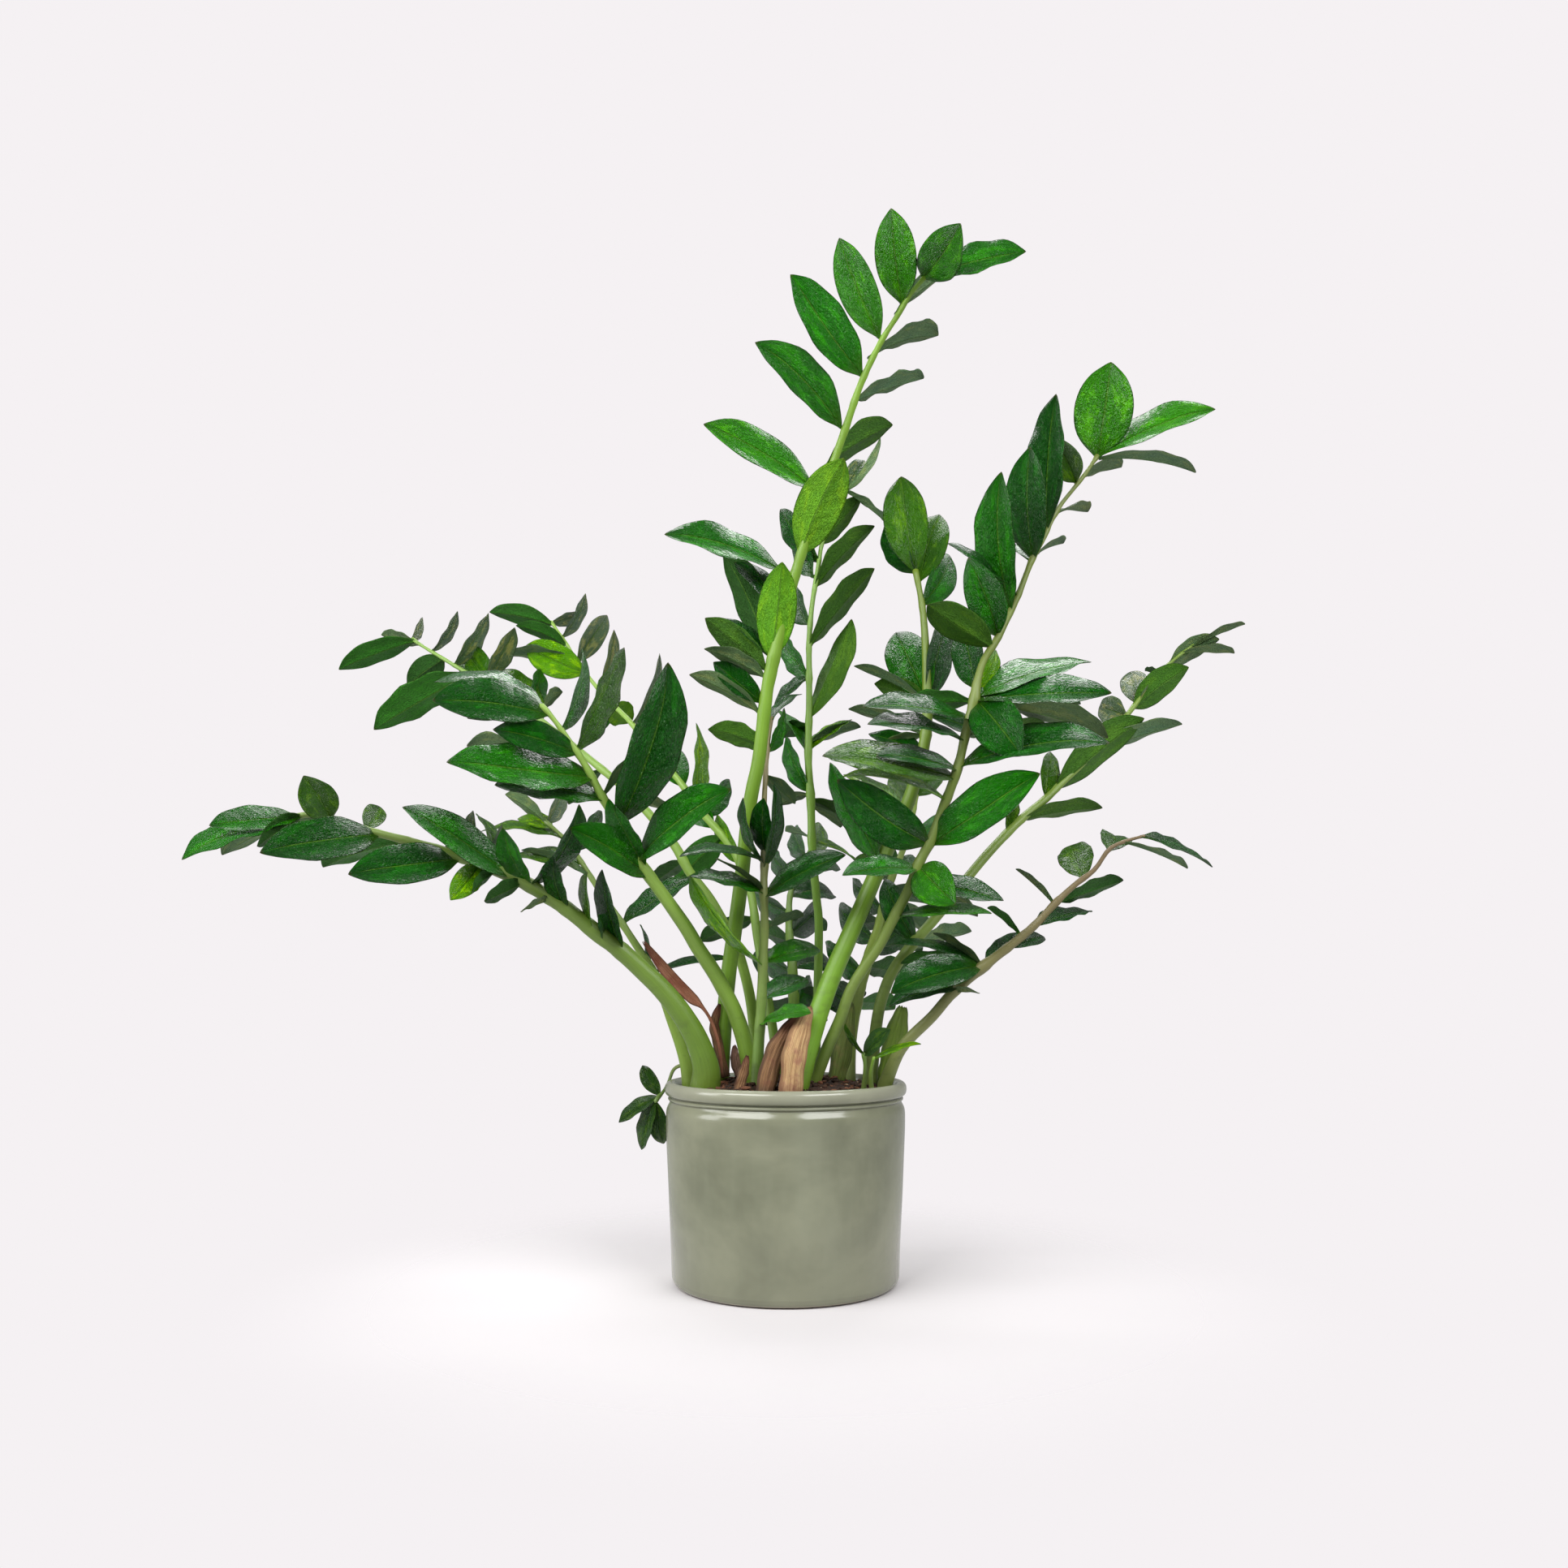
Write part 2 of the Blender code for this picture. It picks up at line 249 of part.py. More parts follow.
class Stem:
    """The axis of one frond: drawn line, depth, and radius along it."""

    def __init__(self, name, depths, radii, line):
        self.name = name
        self.line = rounded_line(line, 8)
        run = [0.0]
        for a, b in zip(self.line, self.line[1:]):
            run.append(run[-1] + math.dist(a, b))
        self.share = [r / run[-1] for r in run]
        self.depths = depths
        self.points = [drawn(u, v, eased(depths, t)) for (u, v), t in zip(self.line, self.share)]
        self.run = [0.0]
        for a, b in zip(self.points, self.points[1:]):
            self.run.append(self.run[-1] + (b - a).length)
        self.length = self.run[-1]
        r0, r1, r2 = (r * 0.001 for r in radii)
        self.radii = [(0.0, r0), (0.10, lerp(r0, r1, 0.40)), (0.45, r1), (0.8, lerp(r1, r2, 0.62)), (1.0, r2)]

    def radius(self, t):
        return eased(self.radii, t)

    def at(self, s):
        """Point on the axis, s metres from the foot."""
        s = min(max(s, 0.0), self.length)
        for i in range(len(self.run) - 1):
            if s <= self.run[i + 1]:
                k = (s - self.run[i]) / max(self.run[i + 1] - self.run[i], 1e-9)
                return self.points[i].lerp(self.points[i + 1], k)
        return self.points[-1].copy()

    def nearest(self, u, v):
        """Distance from the foot, in metres, of the axis point drawn nearest to (u, v)."""
        best, where = 1e9, 0.0
        for i in range(len(self.line) - 1):
            (ax, ay), (bx, by) = self.line[i], self.line[i + 1]
            dx, dy = bx - ax, by - ay
            k = min(max(((u - ax) * dx + (v - ay) * dy) / (dx * dx + dy * dy + 1e-12), 0.0), 1.0)
            d = math.hypot(u - ax - k * dx, v - ay - k * dy)
            if d < best:
                best, where = d, lerp(self.run[i], self.run[i + 1], k)
        return where

    def rings(self, step):
        """(centre, radius) along the stem, from below the soil's surface to the tip."""
        first, along = self.points[0], self.at(0.02) - self.points[0]
        down = Vector((-along.x, -along.y, -abs(along.z))).normalized()
        down = (down + Vector((0, 0, -0.8))).normalized()
        out = []
        if self.name not in ("sprig_over_rim",):
            reach = (first.z - STEM_FOOT_Z) / max(-down.z, 0.2)
        else:
            reach = 0.012
        out.append((first + down * reach, self.radius(0.0) * 0.86))
        out.append((first + down * reach * 0.35, self.radius(0.0)))
        n = max(4, round(self.length / step))
        for i in range(1, n + 1):
            s = self.length * i / n
            out.append((self.at(s), self.radius(s / self.length)))
        return out


def leaf_plan(stem, row, index):
    """Everything that fixes one leaflet in space: spine, upper normal, width, colour letter."""
    u0, v0, u1, v1, wide, code = row[:6]
    real = row[6] * 0.001 if len(row) > 6 else 0.0
    s = min(max(stem.nearest(u0, v0), 0.002), stem.length - 0.0025)
    axis = stem.at(s)
    depth = axis.y * 1000
    foot = drawn(u0, v0, depth)
    scale = (EYE_DISTANCE + axis.y) / FOCAL
    seen = math.hypot(u1 - u0, v1 - v0) * scale
    wave = math.sin(12.9898 * index + 4.1 * len(stem.name) + 0.37 * u0)
    if abs(real) > seen * 1.01:
        back = math.copysign(math.sqrt(real * real - seen * seen), real)
    else:
        back = seen * 0.16 * wave
    # the tip keeps its place on the drawing as it moves back along its sight line
    tip = drawn(u1, v1, depth + back * 1000)
    long = (tip - foot).length
    a = (tip - foot).normalized()
    eye = Vector((0, -EYE_DISTANCE, EYE_HEIGHT))
    view = (eye - (foot + tip) * 0.5).normalized()
    e1 = (view - a * view.dot(a)).normalized()
    e2 = a.cross(e1)
    wide = wide * scale
    full = 0.40 * long
    share = wide / full
    tilt = 0.0 if share >= 0.96 else math.acos(max(share, 0.10))
    width = max(full if share < 0.96 else wide, 0.012)
    if share < 0.30:
        width *= 0.9
    kind = code[0]
    if kind in "ud":
        side = 1.0 if e2.z >= 0 else -1.0
    elif kind in "lL":
        side = 1.0 if e2.x < 0 else -1.0
    else:
        side = 1.0 if e2.x >= 0 else -1.0
    if kind in "dLR":
        normal = -e1 * math.cos(tilt) + e2 * side * math.sin(tilt)
    else:
        normal = e1 * math.cos(tilt) + e2 * side * math.sin(tilt)
    return {"axis": axis, "foot": foot, "tip": tip, "along": a, "normal": normal.normalized(), "long": long,
            "width": width, "stalk": (foot - axis).length, "r": stem.radius(s / stem.length),
            "hue": code[1], "kind": kind, "wave": wave, "bow": 0.045 + 0.03 * math.sin(5.3 * index + 0.11 * v0)}


BLADE = [(0.0, 0.13), (0.08, 0.42), (0.2, 0.78), (0.33, 0.96), (0.45, 1.0), (0.6, 0.93), (0.75, 0.70), (0.87, 0.40), (0.95, 0.17), (1.0, 0.0)]


def on_blade(plan, s, x, lift):
    """Point of a leaflet: s from foot (0) to tip (1), x across (-1 to 1), lift above the blade in metres."""
    a, n = plan["along"], plan["normal"]
    b = a.cross(n)
    bend = plan["bow"] * plan["long"]
    base = plan["foot"].lerp(plan["tip"], s) + n * (bend * 4 * s * (1 - s) - bend * 0.5 * s * s)
    half = 0.5 * plan["width"] * eased(BLADE, s)
    rise = abs(x) * half * FOLD
    return base + b * (x * half) + n * (rise + lift)


# ---------------------------------------------------------------- materials
PALETTE = {
    "glaze": ((0.214, 0.231, 0.165), 0.28),
    "soil": ((0.042, 0.018, 0.009), 0.95),
    "leaf": ((0.022, 0.150, 0.008), 0.30),
    "tan": ((0.53, 0.36, 0.16), 0.7),
    "brown": ((0.27, 0.13, 0.06), 0.75),
    "salmon": ((0.43, 0.19, 0.10), 0.7),
    "pink": ((0.40, 0.23, 0.19), 0.75),
    "green": ((0.16, 0.30, 0.04), 0.45),
    "olive": ((0.19, 0.24, 0.04), 0.45),
}


def finish_for(obj, key):
    colour, rough = PALETTE[key]
    mat = bpy.data.materials.new(obj.name + "_finish")
    mat.use_nodes = True
    shader = mat.node_tree.nodes["Principled BSDF"]
    shader.inputs["Base Color"].default_value = (*colour, 1)
    shader.inputs["Roughness"].default_value = rough
    shader.inputs["Metallic"].default_value = 0.0
    obj.data.materials.clear()
    obj.data.materials.append(mat)


def new_object(name, verts, faces):
    mesh = bpy.data.meshes.new(name)
    mesh.from_pydata([tuple(v) for v in verts], [], faces)
    mesh.update()
    bm = bmesh.new()
    bm.from_mesh(mesh)
    bmesh.ops.recalc_face_normals(bm, faces=bm.faces)
    bm.to_mesh(mesh)
    bm.free()
    obj = bpy.data.objects.new(name, mesh)
    bpy.context.scene.collection.objects.link(obj)
    return obj


def turned(name, profile, segments):
    """Solid of revolution; the profile runs from the axis round and back to it."""
    verts, faces, rows = [], [], []
    for r, z in profile:
        if r < 1e-7:
            rows.append([len(verts)])
            verts.append((0, 0, z))
        else:
            rows.append(list(range(len(verts), len(verts) + segments)))
            for k in range(segments):
                w = math.tau * (k + 0.5) / segments
                verts.append((r * math.cos(w), r * math.sin(w), z))
    for a, b in zip(rows, rows[1:]):
        for k in range(segments):
            j = (k + 1) % segments
            if len(a) == 1:
                faces.append((a[0], b[k], b[j]))
            elif len(b) == 1:
                faces.append((a[k], b[0], a[j]))
            else:
                faces.append((a[k], b[k], b[j], a[j]))
    return new_object(name, verts, faces)


def tube(name, rings, sides, extra=0.0, turn=0.0):
    """Closed round rod through (centre, radius) rings, its section carried along without twist."""
    centres = [c for c, _ in rings]
    verts, faces = [], []
    normal = None
    for i, (c, r) in enumerate(rings):
        t = (centres[min(i + 1, len(rings) - 1)] - centres[max(i - 1, 0)]).normalized()
        if normal is None:
            normal = t.cross(Vector((0, 1, 0))).normalized()
        normal = (normal - t * normal.dot(t)).normalized()
        other = t.cross(normal)
        for k in range(sides):
            w = math.tau * k / sides + turn
            verts.append(c + (normal * math.cos(w) + other * math.sin(w)) * (r + extra))
    n = len(rings)
    for i in range(n - 1):
        for k in range(sides):
            j = (k + 1) % sides
            faces.append((i * sides + k, i * sides + j, (i + 1) * sides + j, (i + 1) * sides + k))
    faces.append(tuple(reversed(range(sides))))
    faces.append(tuple(range((n - 1) * sides, n * sides)))
    return new_object(name, verts, faces)


LEAF_STATIONS = (0.27, 0.66)
MID_THICKNESS = 0.0016       # a leaflet at its midrib, thinning to nothing at its edges


def onto(rings, point):
    """The point of the stem's own facetted axis nearest to a point."""
    best, where = 1e9, point
    for (a, _), (b, _) in zip(rings, rings[1:]):
        d = b - a
        k = min(max((point - a).dot(d) / d.length_squared, 0.0), 1.0)
        q = a + d * k
        if (q - point).length < best:
            best, where = (q - point).length, q
    return where


def leaflet(name, plan, rings):
    """One closed leaflet: a stalk that starts inside the stem, then a folded, bowed blade."""
    a, n = plan["along"], plan["normal"]
    b = a.cross(n)
    axis = onto(rings, plan["axis"])
    out = plan["foot"] - axis
    base = 0.0011 + 0.02 * plan["width"]
    sections = [(axis - a * 0.0004, base, 0.0009)]
    if out.length > plan["r"] + 0.005:
        sections.append((plan["foot"] - out.normalized() * 0.001, base, 0.0009))
    verts, faces = [], []
    for c, half, thick in sections:
        verts += [c - b * half, c - n * thick, c + b * half, c + n * thick]
    for s in LEAF_STATIONS:
        t = MID_THICKNESS * 0.5 * (1.15 - 0.5 * s)
        verts += [on_blade(plan, s, -1, 0), on_blade(plan, s, 0, -t), on_blade(plan, s, 1, 0), on_blade(plan, s, 0, t)]
    verts.append(on_blade(plan, 1.0, 0, 0))
    rows = (len(verts) - 1) // 4
    faces.append((0, 1, 2, 3))
    for i in range(rows - 1):
        for k in range(4):
            j = (k + 1) % 4
            faces.append((4 * i + k, 4 * i + j, 4 * i + 4 + j, 4 * i + 4 + k))
    last = 4 * (rows - 1)
    for k in range(4):
        faces.append((last + k, last + (k + 1) % 4, len(verts) - 1))
    return new_object(name, verts, faces)


def boolean(obj, others, operation):
    """Join or cut obj with the others for good, then remove them."""
    group = bpy.data.collections.new(obj.name + "_tools")
    bpy.context.scene.collection.children.link(group)
    for o in others:
        group.objects.link(o)
    mod = obj.modifiers.new("cut", "BOOLEAN")
    mod.operation = operation
    mod.solver = "EXACT"
    mod.operand_type = "COLLECTION"
    mod.collection = group
    bpy.context.view_layer.update()
    deps = bpy.context.evaluated_depsgraph_get()
    mesh = bpy.data.meshes.new_from_object(obj.evaluated_get(deps))
    obj.modifiers.clear()
    obj.data = mesh
    for o in others:
        bpy.data.objects.remove(o)
    bpy.data.collections.remove(group)


def tidy(obj, flat=0.0):
    """Merge the nearly flat faces that a union leaves, and triangulate."""
    bm = bmesh.new()
    bm.from_mesh(obj.data)
    if flat:
        bmesh.ops.dissolve_limit(bm, angle_limit=flat, use_dissolve_boundaries=False, verts=bm.verts, edges=bm.edges)
    bmesh.ops.triangulate(bm, faces=bm.faces)
    bm.to_mesh(obj.data)
    bm.free()


def rounded(obj, angle=math.radians(35)):
    obj.data.shade_smooth()
    obj.data.set_sharp_from_angle(angle=angle)


def soil_top(x, y):
    """Height of the heaped soil."""
    share = math.hypot(x, y) / (POT_INNER_RADIUS - GAP)
    return lerp(SOIL_CROWN_Z, SOIL_EDGE_Z, min(share, 1.0) ** 2)


def sheath(name, z0, z1, halves, line, hollow, key):
    """A dry sheath leaf: a thin sheet, hollow towards the stem behind it, narrowing to a torn tip."""
    path = rounded_line(line, 6)
    rows = 3 + 2 * (len(line) - 1) if len(line) > 4 else 5
    verts, faces = [], []
    centres = []
    for i in range(rows):
        t = i / (rows - 1)
        u, v = path[round(t * (len(path) - 1))]
        centres.append(drawn(u, v, lerp(z0, z1, t)))
    for i, c in enumerate(centres):
        t = i / (rows - 1)
        half = eased(halves, t) * 0.001
        along = (centres[min(i + 1, rows - 1)] - centres[max(i - 1, 0)]).normalized()
        across = along.cross(Vector((0, 1, 0))).normalized()
        back = across.cross(along).normalized()
        if back.y < 0:
            back = -back
        deep = half * hollow
        for x, d in ((-1, deep), (0, 0.0), (1, deep), (1, deep + 0.0009), (0, 0.0011), (-1, deep + 0.0009)):
            p = c + across * (x * half) + back * d
            if i == 0:
                p.z = max(p.z, soil_top(p.x, p.y) + 2 * GAP)
            verts.append(p)
    for i in range(rows - 1):
        for k in range(6):
            j = (k + 1) % 6
            faces.append((6 * i + k, 6 * i + j, 6 * i + 6 + j, 6 * i + 6 + k))
    faces.append((0, 1, 4, 5))
    faces.append((1, 2, 3, 4))
    e = 6 * (rows - 1)
    faces.append((e, e + 1, e + 4, e + 5))
    faces.append((e + 1, e + 2, e + 3, e + 4))
    obj = new_object(name, verts, faces)
    finish_for(obj, key)
    return obj


def main():
    for o in list(bpy.data.objects):
        bpy.data.objects.remove(o)

    # ------------------------------------------------------------ pot
    rim = POT_RIM_DIAMETER / 2
    outer = [(0, 0), (POT_FOOT_RADIUS - 0.0075, 0), (POT_FOOT_RADIUS - 0.0028, 0.0014), (POT_FOOT_RADIUS - 0.0006, 0.0050),
             (POT_FOOT_RADIUS, 0.0110), (POT_SHOULDER_RADIUS, 0.1540), (POT_SHOULDER_RADIUS - 0.0010, 0.1635), (rim - 0.0030, 0.1672),
             (rim - 0.0018, 0.1700), (rim - 0.0026, 0.1722), (rim - 0.0006, 0.1738), (rim, 0.1772), (rim - 0.0007, 0.1806),
             (rim - 0.0034, POT_HEIGHT), (rim - 0.0068, POT_HEIGHT - 0.0004), (rim - 0.0098, POT_HEIGHT - 0.0030),
             (POT_INNER_RADIUS, POT_HEIGHT - 0.0080), (POT_INNER_RADIUS, POT_FLOOR + 0.004), (POT_INNER_RADIUS - 0.004, POT_FLOOR),
             (0, POT_FLOOR)]
    pot = turned("pot", outer, POT_SEGMENTS)
    finish_for(pot, "glaze")
    rounded(pot)

    # ------------------------------------------------------------ soil, with a socket for each petiole foot
    wall = POT_INNER_RADIUS - GAP
    heap = [(0, POT_FLOOR + GAP), (wall - 0.0044, POT_FLOOR + GAP), (wall, POT_FLOOR + GAP + 0.0044), (wall, SOIL_EDGE_Z)]
    for r in (0.084, 0.062, 0.034):
        heap.append((r, lerp(SOIL_CROWN_Z, SOIL_EDGE_Z, (r / wall) ** 2)))
    heap.append((0, SOIL_CROWN_Z))
    soil = turned("soil", heap, POT_SEGMENTS)

    # ------------------------------------------------------------ fronds
    sockets = []
    for name, depths, radii, line, rows in FRONDS:
        stem = Stem(name, depths, radii, line)
        small = stem.length < 0.12
        rings = stem.rings(0.016 if small else 0.058)
        sides = 6
        frond = tube(name, rings, sides)
        leaves = [leaflet("leaf_%d" % i, leaf_plan(stem, row, i), rings) for i, row in enumerate(rows)]
        boolean(frond, leaves, "UNION")
        tidy(frond, math.radians(2.5))
        lighten = frond.modifiers.new("lighten", "DECIMATE")
        lighten.ratio = 0.64
        lighten.use_collapse_triangulate = True
        rounded(frond, math.radians(50))
        finish_for(frond, "leaf")
        d = (rings[1][0] - rings[0][0]).normalized()
        wide = 0.0011
        foot = [(rings[0][0] - d * 0.001, rings[0][1] + wide), (rings[1][0], rings[1][1] + wide), (rings[2][0], rings[2][1] + wide)]
        sockets.append(tube("socket", foot, sides))
    for row in SHEATHS:
        sheath(*row)
    boolean(soil, sockets, "DIFFERENCE")
    tidy(soil, math.radians(0.5))
    finish_for(soil, "soil")


main()
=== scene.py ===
import math
import random

import bmesh
import bpy
from mathutils import Matrix, Vector, noise


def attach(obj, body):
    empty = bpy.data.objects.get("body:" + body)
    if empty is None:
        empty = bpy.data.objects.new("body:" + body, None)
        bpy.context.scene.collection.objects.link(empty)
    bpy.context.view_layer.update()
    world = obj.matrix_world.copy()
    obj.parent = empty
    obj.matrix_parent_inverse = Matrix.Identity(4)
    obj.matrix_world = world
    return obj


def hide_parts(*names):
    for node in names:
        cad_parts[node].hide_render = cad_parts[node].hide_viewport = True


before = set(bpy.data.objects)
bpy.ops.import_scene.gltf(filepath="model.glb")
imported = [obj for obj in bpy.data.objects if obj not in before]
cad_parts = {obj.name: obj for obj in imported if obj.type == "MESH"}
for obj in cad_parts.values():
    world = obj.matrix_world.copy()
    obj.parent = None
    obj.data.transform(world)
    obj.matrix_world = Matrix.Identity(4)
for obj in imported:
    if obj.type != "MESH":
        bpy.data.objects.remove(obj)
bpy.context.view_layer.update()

# ---------------------------------------------------------------- the layout, as in the CAD source
POT_RIM_DIAMETER = 0.220
POT_HEIGHT = 0.183
POT_FOOT_RADIUS = 0.1035
POT_SHOULDER_RADIUS = 0.1086
POT_INNER_RADIUS = 0.0985
POT_FLOOR = 0.0095
SOIL_EDGE_Z = 0.1725
SOIL_CROWN_Z = 0.1860
STEM_FOOT_Z = 0.1640
EYE_DISTANCE = 1.2
EYE_HEIGHT = 0.285
FOCAL = EYE_DISTANCE * 297 / POT_RIM_DIAMETER
AXIS_U = 968.0
HORIZON_V = 1193.7
FOLD = 0.20
